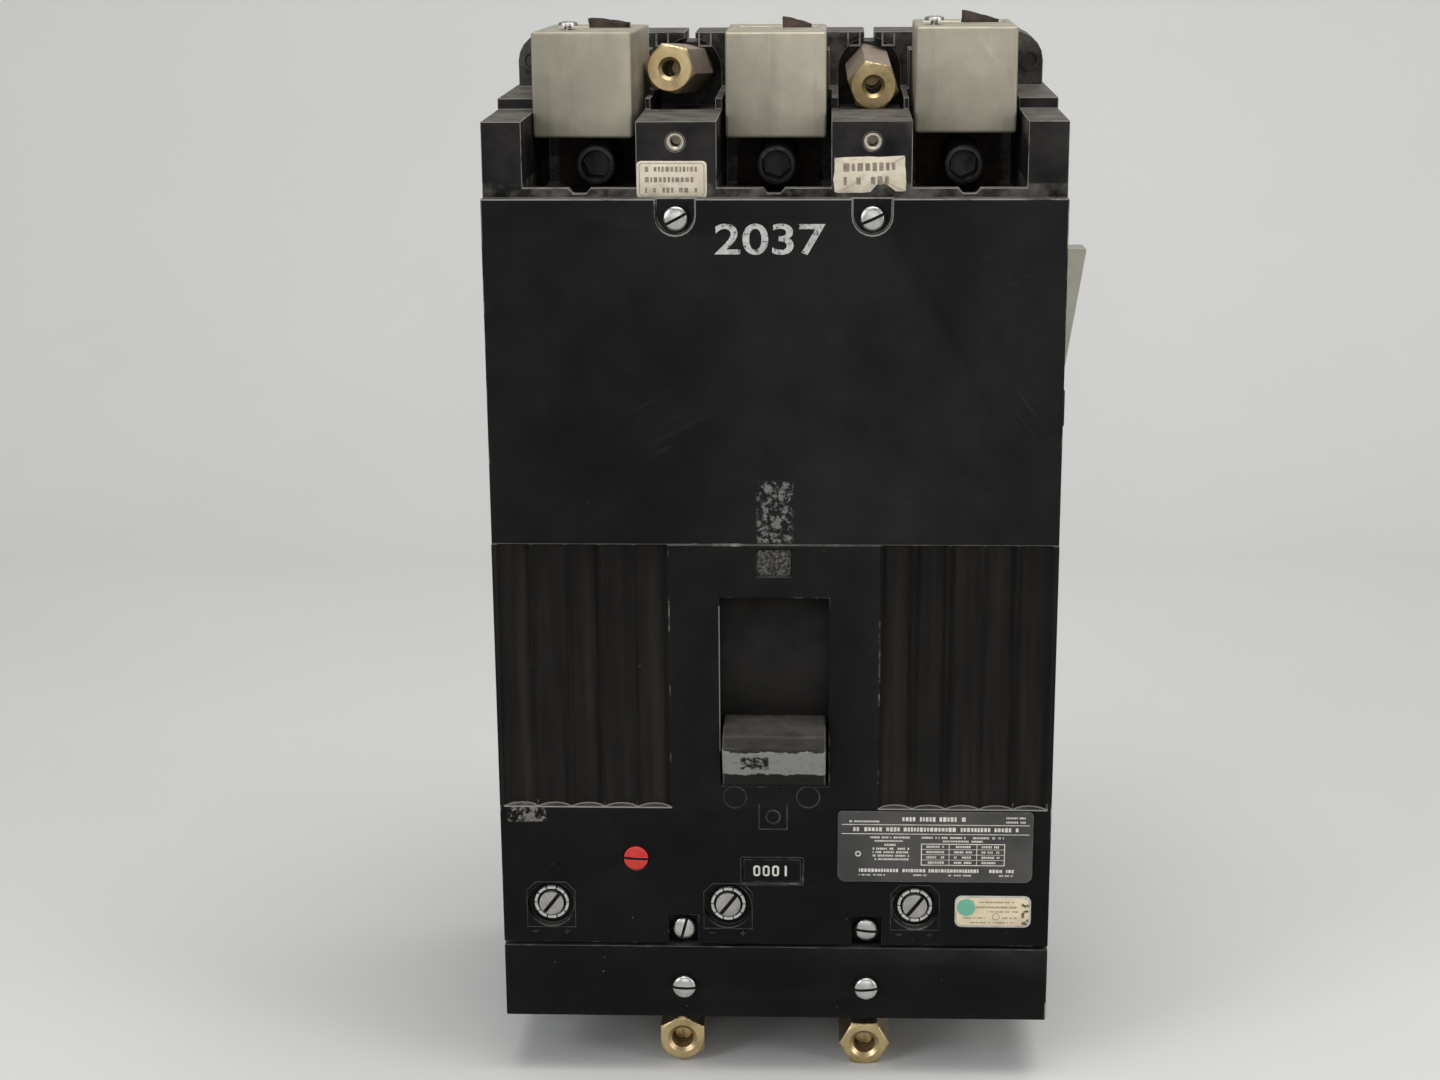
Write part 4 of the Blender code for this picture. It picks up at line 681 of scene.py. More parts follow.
# a hexagon in polar form, cut down by a 30 degree cone at both ends, with a chamfered threaded bore
def hexStandoff(label):
    node = f"mounting_standoff_{label}"
    spec = hexBars["upper" if label.startswith("upper") else "lower"]
    start, direction, length = barAxis(node)
    count, apothem = hexBars["sides"], hexBars["halfFlats"]
    hexagon = hexRadius(apothem, count, hexBars["vertexTurn"][label])
    depth, bore, mouth = spec["threaded"], spec["bore"], spec["mouth"]
    along = np.arange(depth, mouth, -spec["pitch"] / 4)
    threads = threadRadius(bore + 0.2 * mm, spec["threadDepth"], spec["pitch"], along, count)
    plain = [(depth + 8 * mm, 0), (depth + 8 * mm, bore), (depth, bore)]
    face = [(mouth * 0.8, bore), (0, bore + mouth), (0, apothem * 0.72), (0, apothem * 0.955)]
    back = np.array([0.0, 0.12, 0.3, 0.55, 0.9, 1.3, 1.9, 3.0]) * mm
    outside = np.concatenate([back, length - back[::-1]])
    cone = apothem * 0.955 + np.minimum(outside, length - outside) * math.tan(math.radians(62))
    body = np.minimum(hexagon[None], cone[:, None])
    rows = [np.outer([r for _, r in plain], np.ones(count)), threads,
            np.outer([r for _, r in face], np.ones(count)), body, np.zeros((1, count))]
    levels = np.concatenate([[s for s, _ in plain], along, [s for s, _ in face], outside, [length]])
    grid = turned(start, direction, levels, np.concatenate(rows), count)
    mesh = gridsMesh(f"{label}Standoff", [grid], wrapColumns=True)
    addPiece(f"standoff_{label}", mesh, "case", "machinedBrass", (node,), sharp=24)


# a threaded rod whose end carries a driver slot: the end is a slotted head, the rest a screw thread
def slottedStud(side):
    node = f"mounting_stud_{side}"
    middle, low, high = boxAt(node)
    radius = (high[0] - low[0]) / 2
    front = np.array((middle[0], low[1], middle[2]))
    along = np.arange(1.9 * mm, 22 * mm, 0.32 * mm)
    count = 40
    rows = threadRadius(radius - 0.18 * mm, 0.34 * mm, 1.25 * mm, along, count)
    levels = np.concatenate([[1.9 * mm], along, [22 * mm, high[1] - low[1], high[1] - low[1]]])
    ends = np.outer([radius - 0.4 * mm, radius - 0.4 * mm, 0], np.ones(count))
    rows = np.concatenate([np.zeros((1, count)), rows, ends])
    head = slottedHead(front + (0, 1.9 * mm, 0), (0, -1, 0), radius - 0.3 * mm, 1.9 * mm, 0.35 * mm,
                       (1.2 * mm, 1.5 * mm), 90)
    rod = gridsMesh(f"{side}StudRod", [turned(front, (0, 1, 0), levels, rows, count)], wrapColumns=True)
    end = gridsMesh(f"{side}StudEnd", [head], wrapColumns=True)
    addPiece(f"stud_rod_{side}", rod, "case", "machinedBrass", (node,), sharp=24)
    addPiece(f"stud_end_{side}", end, "case", "machinedBrass", sharp=30)


# brass bushes in the posts: a flange ring, a chamfer and a threaded bore
def insertBush(side):
    node = f"lug_cover_insert_{side}"
    middle, low, high = boxAt(node)
    outer, count, depth = (high[0] - low[0]) / 2, 48, high[1] - low[1]
    start = np.array((middle[0], low[1], middle[2]))
    bore = outer - 1.45 * mm
    along = np.arange(9 * mm, 0.7 * mm, -0.25 * mm)
    threads = threadRadius(bore + 0.15 * mm, 0.34 * mm, 0.9 * mm, along, count)
    before = [(10 * mm, 0), (10 * mm, bore)]
    after = [(0.5 * mm, bore + 0.1 * mm), (0.05 * mm, bore + 0.55 * mm), (0, bore + 0.75 * mm),
             (0, outer - 0.25 * mm), (0.08 * mm, outer - 0.08 * mm), (0.3 * mm, outer),
             (depth, outer), (depth, 0)]
    levels = np.concatenate([[s for s, _ in before], along, [s for s, _ in after]])
    flat = [np.outer([r for _, r in part], np.ones(count)) for part in (before, after)]
    rows = np.concatenate([flat[0], threads, flat[1]])
    mesh = gridsMesh(f"{side}Bush", [turned(start, (0, 1, 0), levels, rows, count)], wrapColumns=True)
    addPiece(f"insert_bush_{side}", mesh, "case", "dullBush", (node,), sharp=30)


def brassLayers(tree, colour, rough, height):
    # the turned front faces stay bright, the flats behind them are dull and grimy
    front = ramp(tree, facing(tree, "Y"), -0.92, -0.45, 1.0, 0.0)
    grime = ramp(tree, noise(tree, 260, detail=7, rough=0.7, shift=3.3), 0.30, 0.72)
    upper = ramp(tree, axisParts(tree)[2], -20 * mm, 20 * mm, 0.3, 0.9)
    share = calc(tree, "MAXIMUM", upper, grime)
    dull = times(tree, minus(tree, 1.0, front), share)
    colour = mix(tree, dull, colour, (0.36, 0.30, 0.255))
    smudge = times(tree, ramp(tree, noise(tree, 190, detail=6, rough=0.65, shift=8.2), 0.45, 0.7), 0.45)
    colour = mix(tree, smudge, colour, (0.22, 0.17, 0.10))
    rough = plus(tree, rough, times(tree, dull, 0.3), clamp=True)
    return colour, rough, height


materials["machinedBrass"] = finishMaterial("machinedBrass", {
    "colour": (0.62, 0.49, 0.27), "second": (0.50, 0.37, 0.18), "mottle": 120, "rough": 0.36, "metallic": 1.0,
    "scratch": 0.4, "scratchColour": (0.34, 0.26, 0.15), "grain": 3200, "grainDepth": 0.000008,
    "wear": 0.6, "wearColour": (0.80, 0.68, 0.44), "wearWidth": 0.5 * mm,
}, brassLayers)
materials["dullBush"] = finishMaterial("dullBush", {
    "colour": (0.50, 0.46, 0.38), "second": (0.36, 0.32, 0.25), "mottle": 300, "rough": 0.42, "metallic": 0.9,
    "grain": 3000, "grainDepth": 0.00001, "wear": 0.5, "wearColour": (0.7, 0.67, 0.6), "wearWidth": 0.3 * mm,
})
for label in hexBars["vertexTurn"]:
    hexStandoff(label)
for side in ("left", "right"):
    slottedStud(side)
    insertBush(side)
print("brass standoffs, studs and bushes made")


# the faces whose middle lies within half the slot's width of its centre line take the dark slot material: the
# slot is painted near black, darker than the head
def darkenSlot(piece, centre, direction, slot, slotTurn):
    _, side, up = acrossAxes(direction)
    turn = math.radians(slotTurn)
    crossways = math.sin(turn) * side + math.cos(turn) * up
    mesh = piece.data
    mesh.materials.append(materials["darkSlotFill"])
    middles = np.zeros(len(mesh.polygons) * 3)
    mesh.polygons.foreach_get("center", middles)
    off = np.abs((middles.reshape(-1, 3) - np.array(centre)) @ crossways)
    mesh.polygons.foreach_set("material_index", (off < slot[0] * 0.501).astype(np.int32))


# slotted screws on the front and on the lugs
screws = {
    # node: slot angle, crown height
    "cover_screw_upper_left": (-28, 1.35 * mm),
    "cover_screw_upper_right": (-24, 1.35 * mm),
    "cover_screw_lower_left": (-75, 1.2 * mm),
    "cover_screw_lower_right": (6, 1.2 * mm),
    "lug_cover_screw_left": (2, 1.5 * mm),
    "lug_cover_screw_right": (-4, 1.5 * mm),
}
screwHead = {"radius": 4.5 * mm, "height": 2.6 * mm, "slot": (1.1 * mm, 1.1 * mm), "shank": 2.3 * mm}
tapScrew = {"radius": 3.6 * mm, "height": 1.7 * mm, "slot": (1.0 * mm, 0.9 * mm), "shank": 1.45 * mm,
            "pitch": 0.8 * mm}


# the round head and, behind it, a threaded shank whose radius is a triangle wave along its length
def frontScrew(node, slotTurn, crown):
    middle, low, high = boxAt(node)
    seat = np.array((middle[0], low[1] + screwHead["height"], middle[2]))
    radius, height, slot = screwHead["radius"], screwHead["height"], screwHead["slot"]
    head = slottedHead(seat, (0, -1, 0), radius, height, crown, slot, slotTurn)
    along = np.arange(0.2 * mm, high[1] - seat[1] - 0.4 * mm, 0.35 * mm)
    rows = threadRadius(screwHead["shank"] - 0.15 * mm, 0.28 * mm, 1.05 * mm, along, 24)
    levels = np.concatenate([[-0.3 * mm], along, [along[-1] + 0.3 * mm]])
    rows = np.concatenate([np.zeros((1, 24)), rows, np.zeros((1, 24))])
    headMesh = gridsMesh(f"{node}Head", [head], wrapColumns=True)
    shankMesh = gridsMesh(f"{node}Shank", [turned(seat, (0, 1, 0), levels, rows, 24)], wrapColumns=True)
    piece = addPiece(f"{node}_head", headMesh, "case", "brightZinc", (node,), sharp=30)
    darkenSlot(piece, seat, (0, -1, 0), slot, slotTurn)
    addPiece(f"{node}_shank", shankMesh, "case", "brightZinc", sharp=30)


def lugTapScrew(side):
    node = f"lug_tap_screw_{side}"
    middle, low, high = boxAt(node)
    seat = np.array((middle[0], middle[1], high[2] - tapScrew["height"]))
    radius, height, slot = tapScrew["radius"], tapScrew["height"], tapScrew["slot"]
    head = slottedHead(seat, (0, 0, 1), radius, height, 0.8 * mm, slot, 20)
    along = np.arange(0.1 * mm, seat[2] - low[2] - 0.3 * mm, 0.2 * mm)
    rows = threadRadius(tapScrew["shank"] - 0.12 * mm, 0.22 * mm, tapScrew["pitch"], along, 24)
    levels = np.concatenate([[-0.2 * mm], along, [along[-1]]])
    rows = np.concatenate([np.zeros((1, 24)), rows, np.zeros((1, 24))])
    headMesh = gridsMesh(f"{side}TapHead", [head], wrapColumns=True)
    shankMesh = gridsMesh(f"{side}TapShank", [turned(seat, (0, 0, -1), levels, rows, 24)], wrapColumns=True)
    addPiece(f"{node}_head", headMesh, "case", "brightZinc", (node,), sharp=30)
    addPiece(f"{node}_shank", shankMesh, "case", "brightZinc", sharp=30)


for node, (slotTurn, crown) in screws.items():
    frontScrew(node, slotTurn, crown)
for side in ("left", "right"):
    lugTapScrew(side)
print("slotted screws made")


# terminal bolts: cylinder heads with a hexagon socket, deep in the channels
bolts = {"socket": 5.0 * mm, "depth": 13.5 * mm, "edge": 0.8 * mm, "head": 40.05 * mm, "shank": 3.9 * mm,
         "sides": 72}


def terminalBolt(name):
    node = f"terminal_bolt_{name}"
    middle, low, high = boxAt(node)
    radius, count = (high[0] - low[0]) / 2, bolts["sides"]
    start = np.array((middle[0], low[1], middle[2]))
    socket = hexRadius(bolts["socket"], count, 20 + 17 * middle[0] / (70 * mm))
    mouth = np.maximum(socket, bolts["socket"] * 1.12)
    head, shank, back = bolts["head"], bolts["shank"], high[1] - low[1]
    rows = [(bolts["depth"], 0), (bolts["depth"], socket), (0.5 * mm, socket), (0, mouth),
            (0, radius - bolts["edge"]), (0.25 * mm, radius - 0.3 * mm), (bolts["edge"], radius),
            (head, radius), (head, shank), (back, shank), (back, 0)]
    around = np.array([r * np.ones(count) for _, r in rows])
    grid = turned(start, (0, 1, 0), [level for level, _ in rows], around, count)
    mesh = gridsMesh(f"{name}Bolt", [grid], wrapColumns=True)
    addPiece(f"socket_bolt_{name}", mesh, "case", "blackSteel", (node,), sharp=30)


for name in ("left", "middle", "right"):
    terminalBolt(name)
print("terminal bolts made")


# adjusting dials: knob, segmented white ring and the moulded square round the well
dials = {
    "knobRadius": 4.7 * mm, "knobHeight": 2.4 * mm, "crown": 0.35 * mm, "slot": (1.5 * mm, 1.3 * mm),
    "slotTurn": -52,
    "shaftRadius": 2.45 * mm, "wellFloor": 2.9 * mm,  # floor behind the knob's front
    "ring": (5.6 * mm, 6.6 * mm, 1.5 * mm),  # inner, outer, height over the well's floor
    "segments": 10, "gap": 5.0,  # degrees
    "square": (9.3 * mm, 3.5 * mm, 0.28 * mm, 0.12 * mm),  # half side, cut corner, line width, proud
    "marks": {"minus": (-6.2 * mm, -11.2 * mm), "plus": (5.8 * mm, -11.2 * mm)},
    "markSize": 2.2 * mm,
}
caseFront = boxAt("front_cover")[1][1]  # Y of the lower front face
upperFront = caseFront + 1.2 * mm
flangeFront = -30.0 * mm


# a piece of the ring: a square section carried round part of a circle
def ringSegment(centre, inner, outer, back, front, start, end):
    a = np.radians(np.linspace(start, end, 7))
    sections = [(inner, back), (outer, back), (outer, front), (inner, front)]
    x, z = centre
    grid = [np.stack([x + r * np.cos(a), np.full(7, y), z + r * np.sin(a)], axis=-1) for r, y in sections]
    return capped(np.stack(grid, axis=1))


def makeDial(name):
    node = f"dial_{name}"
    middle, low, high = boxAt(node)
    centre = (middle[0], middle[2])
    floor = low[1] + dials["wellFloor"]
    seat = np.array((middle[0], low[1] + dials["knobHeight"], middle[2]))
    radius, height, shaftRadius = dials["knobRadius"], dials["knobHeight"], dials["shaftRadius"]
    slot, slotTurn = dials["slot"], dials["slotTurn"]
    head = slottedHead(seat, (0, -1, 0), radius, height, dials["crown"], slot, slotTurn, 33)
    end = high[1] - seat[1]
    shaft = turned(seat, (0, 1, 0), [-0.3 * mm, -0.3 * mm, end, end], [0, shaftRadius, shaftRadius, 0], 32)
    knob = gridsMesh(f"{name}Knob", [head], wrapColumns=True)
    knob = addPiece(f"{node}_knob", knob, node, "satinZinc", (node,), 30)
    darkenSlot(knob, seat, (0, -1, 0), slot, slotTurn)
    mesh = gridsMesh(f"{name}Shaft", [shaft], wrapColumns=True)
    addPiece(f"{node}_shaft", mesh, node, "satinZinc", sharp=30)
    inner, outer, height = dials["ring"]
    step = 360 / dials["segments"]
    parts = [ringSegment(centre, inner, outer, floor - 0.02 * mm, floor - height, i * step + dials["gap"] / 2,
                         (i + 1) * step - dials["gap"] / 2) for i in range(dials["segments"])]
    ring = gridsMesh(f"{name}Ring", parts, wrapColumns=True)
    addPiece(f"{node}_ring", ring, "case", "dialWhite", sharp=30)
    half, cut, width, proud = dials["square"]
    x, z = centre
    outline = [(x - half, z - half), (x + half, z - half), (x + half, z + half - cut),
               (x + half - cut, z + half), (x - half + cut, z + half), (x - half, z + half - cut)]
    marks = [ridge(outline, width, caseFront + 0.05 * mm, caseFront - proud)]
    size = dials["markSize"] / 2
    for kind, (dx, dz) in dials["marks"].items():
        cx, cz = x + dx, z + dz
        marks.append(ridge([(cx - size, cz), (cx + size, cz)], 0.5 * mm, caseFront + 0.05 * mm,
                           caseFront - proud, False))
        if kind == "plus":
            marks.append(ridge([(cx, cz - size), (cx, cz + size)], 0.5 * mm, caseFront + 0.05 * mm,
                               caseFront - proud * 1.1, False))
    mesh = gridsMesh(f"{name}Marks", marks, wrapColumns=True)
    # the raised square and marks are coloured much lighter than the case: a painted highlight on their edges
    addPiece(f"{node}_marks", mesh, "case", "highlitRaisedPhenolic", sharp=30)


materials["satinZinc"] = finishMaterial("satinZinc", {
    "colour": (0.40, 0.39, 0.37), "second": (0.30, 0.29, 0.28), "mottle": 260, "rough": 0.45, "metallic": 0.8,
    "scratch": 0.5, "scratchColour": (0.28, 0.27, 0.25), "grain": 3800, "wear": 0.4, "wearWidth": 0.3 * mm,
    "wearColour": (0.7, 0.69, 0.67),
})
# raised moulded marks: the case's phenolic made much lighter, a painted highlight for light caught on their
# raised edges
materials["highlitRaisedPhenolic"] = finishMaterial("highlitRaisedPhenolic", {
    **phenolic, "colour": (0.060, 0.057, 0.053), "second": (0.012, 0.012, 0.012), "mottle": 200, "wear": 0.0,
})
for name in ("left", "middle", "right"):
    makeDial(name)
print("dials made")


# moulded marks on the front: O under the handle, I above it, two faint circles and the corner bosses
marks = {
    "offBox": ((-0.6 * mm, -88.9 * mm), (10.6 * mm, 10.1 * mm)),
    "offRound": 2.6 * mm,
    "onBar": ((-0.6 * mm, 11.1 * mm), 2.9 * mm),
    "circles": ((-15.0 * mm, -81.1 * mm), (12.7 * mm, -80.8 * mm)), "circleRadius": 4.3 * mm,
    "bosses": ((-97.7 * mm, 186.0 * mm), (97.7 * mm, 186.0 * mm)), "bossRadius": 3.6 * mm,
    "line": 0.5 * mm, "proud": 0.18 * mm,
}


def frontMarks():
    line, proud = marks["line"], marks["proud"]
    seat = caseFront + 0.05 * mm
    (x, z), (wide, high) = marks["offBox"]
    corners = [(x - wide / 2, z + high / 2), (x - wide / 2, z - high / 2), (x + wide / 2, z - high / 2),
               (x + wide / 2, z + high / 2)]
    faint = [ridge(corners, line, seat, caseFront - proud, False)]
    for centre in marks["circles"]:
        faint.append(ridge(circle(centre, marks["circleRadius"]), line, seat, caseFront - proud))
    faint.append(ridge(circle((x, z), marks["offRound"]), line * 1.5, seat, caseFront - proud))
    (x, z), half = marks["onBar"]
    padFloor = caseFront + 0.8 * mm
    faint.append(ridge([(x, z - half), (x, z + half)], line * 2.2, padFloor + 0.05 * mm, padFloor - 0.4 * mm,
                       False))
    mesh = gridsMesh("frontMarks", faint, wrapColumns=True)
    # the raised front marks take the same painted highlight colour
    addPiece("front_marks", mesh, "case", "highlitRaisedPhenolic", sharp=30)
    back, front = flangeFront + 0.05 * mm, flangeFront - 0.7 * mm
    rings = [ridge(circle(c, marks["bossRadius"]), 1.1 * mm, back, front) for c in marks["bosses"]]
    mesh = gridsMesh("cornerBosses", rings, wrapColumns=True)
    addPiece("corner_bosses", mesh, "case", "basePhenolic", sharp=30)


frontMarks()


# small moulded seats along the top of the flange, each an open U, beside the slots
flangeSeats = {
    "x": (-46.2 * mm, -29.4 * mm, 29.1 * mm, 42.6 * mm), "z": (191.6 * mm, 196.4 * mm), "half": 2.3 * mm,
    "wall": 0.7 * mm,
}


def makeFlangeSeats():
    (foot, head), half = flangeSeats["z"], flangeSeats["half"]
    back, front = flangeFront + 0.05 * mm, flangeFront - 0.7 * mm
    rims = []
    for x in flangeSeats["x"]:
        path = [(x - half, head), (x - half, foot), (x + half, foot), (x + half, head)]
        rims.append(ridge(path, flangeSeats["wall"], back, front, False))
    mesh = gridsMesh("flangeSeats", rims, wrapColumns=True)
    addPiece("flange_seats", mesh, "case", "rubbedEdge", sharp=30)


makeFlangeSeats()


# trip button: a red plunger with a rounded rim, a slot and its stem
button = {
    "radius": 4.7 * mm, "height": 6 * mm, "crown": 0.6 * mm, "slot": (1.0 * mm, 0.9 * mm), "slotTurn": 3,
    "shortOfTip": 0.8 * mm,
    # stem: mm behind the head's seat and radius in mm, from the head back to its flange
    "stem": ((-0.4, 0), (-0.4, 4.6), (2.7, 4.6), (2.7, 6.3), (2.9, 6.5), (4.0, 6.5), (4.2, 6.3), (4.2, 1.7)),
}


def tripButton():
    middle, low, high = boxAt("trip_button")
    seat = np.array((middle[0], low[1] + button["height"], middle[2]))
    slot, slotTurn = button["slot"], button["slotTurn"]
    radius, height, crown = button["radius"], button["height"], button["crown"]
    head = slottedHead(seat, (0, -1, 0), radius, height, crown, slot, slotTurn, 33)
    tip = high[1] - seat[1] - button["shortOfTip"]
    levels = [level * mm for level, _ in button["stem"]] + [tip, tip]
    radii = [radius * mm for _, radius in button["stem"]] + [button["stem"][-1][1] * mm, 0]
    stem = turned(seat, (0, 1, 0), levels, radii, 40)
    mesh = gridsMesh("buttonHead", [head], wrapColumns=True)
    piece = addPiece("trip_button_head", mesh, "trip_button", "redPlastic",
                     ("trip_button",), sharp=30)
    darkenSlot(piece, seat, (0, -1, 0), slot, slotTurn)
    mesh = gridsMesh("buttonStem", [stem], wrapColumns=True)
    addPiece("trip_button_stem", mesh, "trip_button", "redPlastic", sharp=30)


tripButton()
print("marks and trip button made")


# handle: a curved shield and a grip, both in polar form about the handle's pivot
handlePivot = next(j["pos_m"] for j in frame["joints"] if j["name"] == "handle_tilt")
handle = {
    "off": -16.0,  # degrees below straight out at rest
    "shield": (57.0 * mm, 60.0 * mm, 26.0 * mm, 56.0),  # inner, outer, half width, half angle
    "gripHalf": 19.3 * mm,
    # radius, angle from the middle of the grip, corner radius
    "grip": ((59.0, 4.3, 1.0), (79.6, 6.2, 2.2), (84.0, 3.2, 2.4), (83.0, -8.0, 1.6), (81.0, -10.0, 1.0),
             (59.0, -12.5, 1.0)),
    "endRounding": 1.3 * mm,
}


def aboutPivot(radius, degrees):
    turn = np.radians(degrees)
    return np.stack([handlePivot[1] - radius * np.cos(turn), handlePivot[2] + radius * np.sin(turn)], axis=-1)


def makeHandle():
    inner, outer, half, reach = handle["shield"]
    a = np.linspace(-reach, reach, 61) + handle["off"]
    edge = 0.4 * mm
    section = [(-half, inner), (-half, outer - edge), (-half + edge, outer), (half - edge, outer),
               (half, outer - edge), (half, inner)]
    columns = []
    for x, r in section:
        yz = aboutPivot(r, a)
        columns.append(np.stack([np.full(len(a), x), yz[:, 0], yz[:, 1]], axis=-1))
    mesh = gridsMesh("shieldSheet", [capped(np.stack(columns, axis=1))], wrapColumns=True)
    addPiece("handle_shield", mesh, "handle", "handlePhenolic", ("handle",), sharp=30)
    corners = [aboutPivot(r * mm, angle + handle["off"]) for r, angle, _ in handle["grip"]]
    outline = roundedOutline(corners, [radius * mm for _, _, radius in handle["grip"]], 8)
    grid = slab(outline, -handle["gripHalf"], handle["gripHalf"], handle["endRounding"], "X", 6)
    mesh = gridsMesh("gripBlock", [grid], wrapColumns=True)
    addPiece("handle_grip", mesh, "handle", "handlePhenolic", sharp=28)


def handleLayers(tree, colour, rough, height):
    # off-white paint across the front of the grip with ragged edges, rubbed off left of the middle
    x, y, z = axisParts(tree)
    fromY = minus(tree, handlePivot[1], y)
    fromZ = minus(tree, z, handlePivot[2])
    angle = calc(tree, "DEGREES", calc(tree, "ARCTAN2", fromZ, fromY))
    radius = calc(tree, "SQRT", plus(tree, times(tree, fromY, fromY), times(tree, fromZ, fromZ)))
    out = ramp(tree, radius, 61 * mm, 63 * mm)
    ragged = times(tree, minus(tree, noise(tree, 150, detail=5, rough=0.6, shift=1.3), 0.5), 3.4)
    at = plus(tree, angle, ragged)
    band = times(tree, within(tree, at, -20.2, -13.2, 0.35), out)
    bare = times(tree, within(tree, x, -12 * mm, -2.5 * mm, 1 * mm), within(tree, angle, -18.4, -14.8, 0.6))
    chipped = ramp(tree, noise(tree, 330, detail=7, rough=0.75, shift=5.9), 0.44, 0.52)
    rubbed = times(tree, bare, chipped)
    fine = ramp(tree, noise(tree, 900, stretch=(0.35, 1, 1), detail=6, rough=0.7, shift=2.2), 0.56, 0.66)
    keep = times(tree, band, minus(tree, 1.0, calc(tree, "MAXIMUM", rubbed, times(tree, fine, 0.5))))
    drawn = ramp(tree, noise(tree, 130, stretch=(0.3, 1, 1), detail=7, rough=0.7, shift=6.6), 0.40, 0.75)
    smear = times(tree, times(tree, within(tree, at, -13.0, -6.0, 1.5), out), drawn)
    sides = times(tree, ramp(tree, calc(tree, "ABSOLUTE", x), 18.5 * mm, 18.9 * mm), out)
    grime = times(tree, out, ramp(tree, noise(tree, 210, detail=8, rough=0.75, shift=7.4), 0.35, 0.7))
    colour = mix(tree, times(tree, grime, 0.35), colour, (0.026, 0.025, 0.024))
    colour = mix(tree, times(tree, smear, 0.30), colour, (0.13, 0.125, 0.12))
    colour = mix(tree, times(tree, sides, 0.30), colour, (0.20, 0.19, 0.175))
    colour = mix(tree, times(tree, keep, 0.92), colour, (0.235, 0.232, 0.22))
    rough = plus(tree, rough, times(tree, keep, 0.2), clamp=True)
    return colour, rough, plus(tree, height, times(tree, keep, 2.0))


materials["handlePhenolic"] = finishMaterial("handlePhenolic", {
    **phenolic, "colour": (0.0085, 0.0080, 0.0074), "second": (0.0150, 0.0135, 0.0125), "mottle": 55,
    "rough": 0.5, "wear": 0.65, "wearWidth": 0.8 * mm, "wearColour": (0.27, 0.26, 0.24), "dust": 0.3,
}, handleLayers)
makeHandle()
print("handle made")


# lugs and the ends of the laminated conductors left in them
lugEdge = 1.1 * mm
leaves = {
    # lug: X from its middle, leaves, height over it at the left and at the right, fan to the right
    "left": ((-1.0 * mm, 12.5 * mm), 10, (3.4 * mm, 1.6 * mm), 2.0 * mm),
    "middle": ((2.0 * mm, 12.5 * mm), 9, (3.9 * mm, 1.0 * mm), 0.5 * mm),
    "right": ((-0.5 * mm, 13.2 * mm), 10, (4.4 * mm, 0.7 * mm), 0.8 * mm),
    "thickness": 0.5 * mm,
    "deep": 22 * mm,
}


# each leaf is a sheet, s up the slot and t across it: its top falls from left to right and waves a little,
# and leaf by leaf the stack is stepped in height and fanned out over the lug
def leafPack(name):
    (x0, x1), count, (tall, short), fan = leaves[name]
    middle, _, high = boxAt(f"line_lug_{name}")
    slotFront, slotBack = high[1] - 20.4 * mm, high[1] - 10.2 * mm
    s, t = np.linspace(0, 1, 14)[:, None], np.linspace(0, 1, 22)[None, :]
    grids = []
    for i, level in enumerate(np.linspace(slotFront + 0.6 * mm, slotBack - 1.2 * mm, count)):
        share = i / (count - 1)
        step = 0.75 + 0.25 * math.sin(2.3 * i + 1)
        top = high[2] + step * (tall + t * (short - tall)) + 0.22 * mm * np.sin(7 * t + 2 * i)
        z = high[2] - leaves["deep"] + s * (top - high[2] + leaves["deep"])
        drift = fan * (share - 0.35) * np.clip(s - 0.86, 0, 1) * 7
        x = middle[0] + x0 + t * (x1 - x0) + drift
        y = level + 0.3 * mm * np.sin(5 * t + i) * s**6
        front = np.stack([x, y, z], axis=-1)
        grids.append(np.concatenate([front, (front + (0, leaves["thickness"], 0))[::-1]]))
    mesh = gridsMesh(f"{name}Leaves", grids, wrapRows=True)
    work = bmesh.new()
    work.from_mesh(mesh)
    bmesh.ops.holes_fill(work, edges=[e for e in work.edges if e.is_boundary], sides=0)
    bmesh.ops.recalc_face_normals(work, faces=work.faces)
    work.to_mesh(mesh)
    work.free()
    addPiece(f"conductor_leaves_{name}", mesh, "case", "tarnishedCopper", sharp=40)


def lugLayers(tree, colour, rough, height):
    # brown stains running down, and small darker spots
    run = ramp(tree, noise(tree, 150, stretch=(1, 1, 0.12), detail=6, rough=0.65, shift=4.6), 0.50, 0.80)
    colour = mix(tree, times(tree, run, 0.45), colour, (0.19, 0.175, 0.14))
    spot = ramp(tree, noise(tree, 420, detail=7, rough=0.75, shift=8.1), 0.60, 0.68)
    colour = mix(tree, times(tree, spot, 0.35), colour, (0.13, 0.12, 0.10))
    return colour, rough, height


materials["tinPlate"] = finishMaterial("lugTinPlate", finishes["tinPlate"], lugLayers)
for name in ("left", "middle", "right"):
    roundedShell(f"line_lug_{name}", f"lug_{name}", lugEdge, "tinPlate")
    leafPack(name)
roundedShell("side_bracket", "bracket_sheet", 0.22 * mm, "greyPaint")
roundedShell("side_lead_block", "lead_block", 0.7 * mm, "agedPhenolic")
print("lugs, leaves and bracket made")


# printed things: a row of little blocks stands for each line of print
def printRow(x0, x1, z, size, seat, proud, seed, gap=0.28):
    rng = np.random.default_rng(seed)
    grids, x = [], x0
    while x < x1 - size * 0.4:
        wide = size * rng.uniform(0.35, 0.75)
        if rng.random() > 0.16:  # otherwise a space between words
            high = size * rng.uniform(0.82, 1.0)
            end, foot, top = min(x + wide, x1), z - high / 2, z + high / 2
            corners = [(x, foot), (end, foot), (end, top), (x, top)]
            ring = np.array([(a, seat, b) for a, b in corners])
            grids.append(capped(np.stack([ring, ring - (0, proud, 0)])))
        x += wide + size * gap
    return grids


def rotatedInPlane(grids, centre, degrees):
    turn, c = math.radians(degrees), np.array((centre[0], 0, centre[1]))
    spin = np.array([[math.cos(turn), 0, -math.sin(turn)], [0, 1, 0], [math.sin(turn), 0, math.cos(turn)]])
    return [(g - c) @ spin.T + c for g in grids]


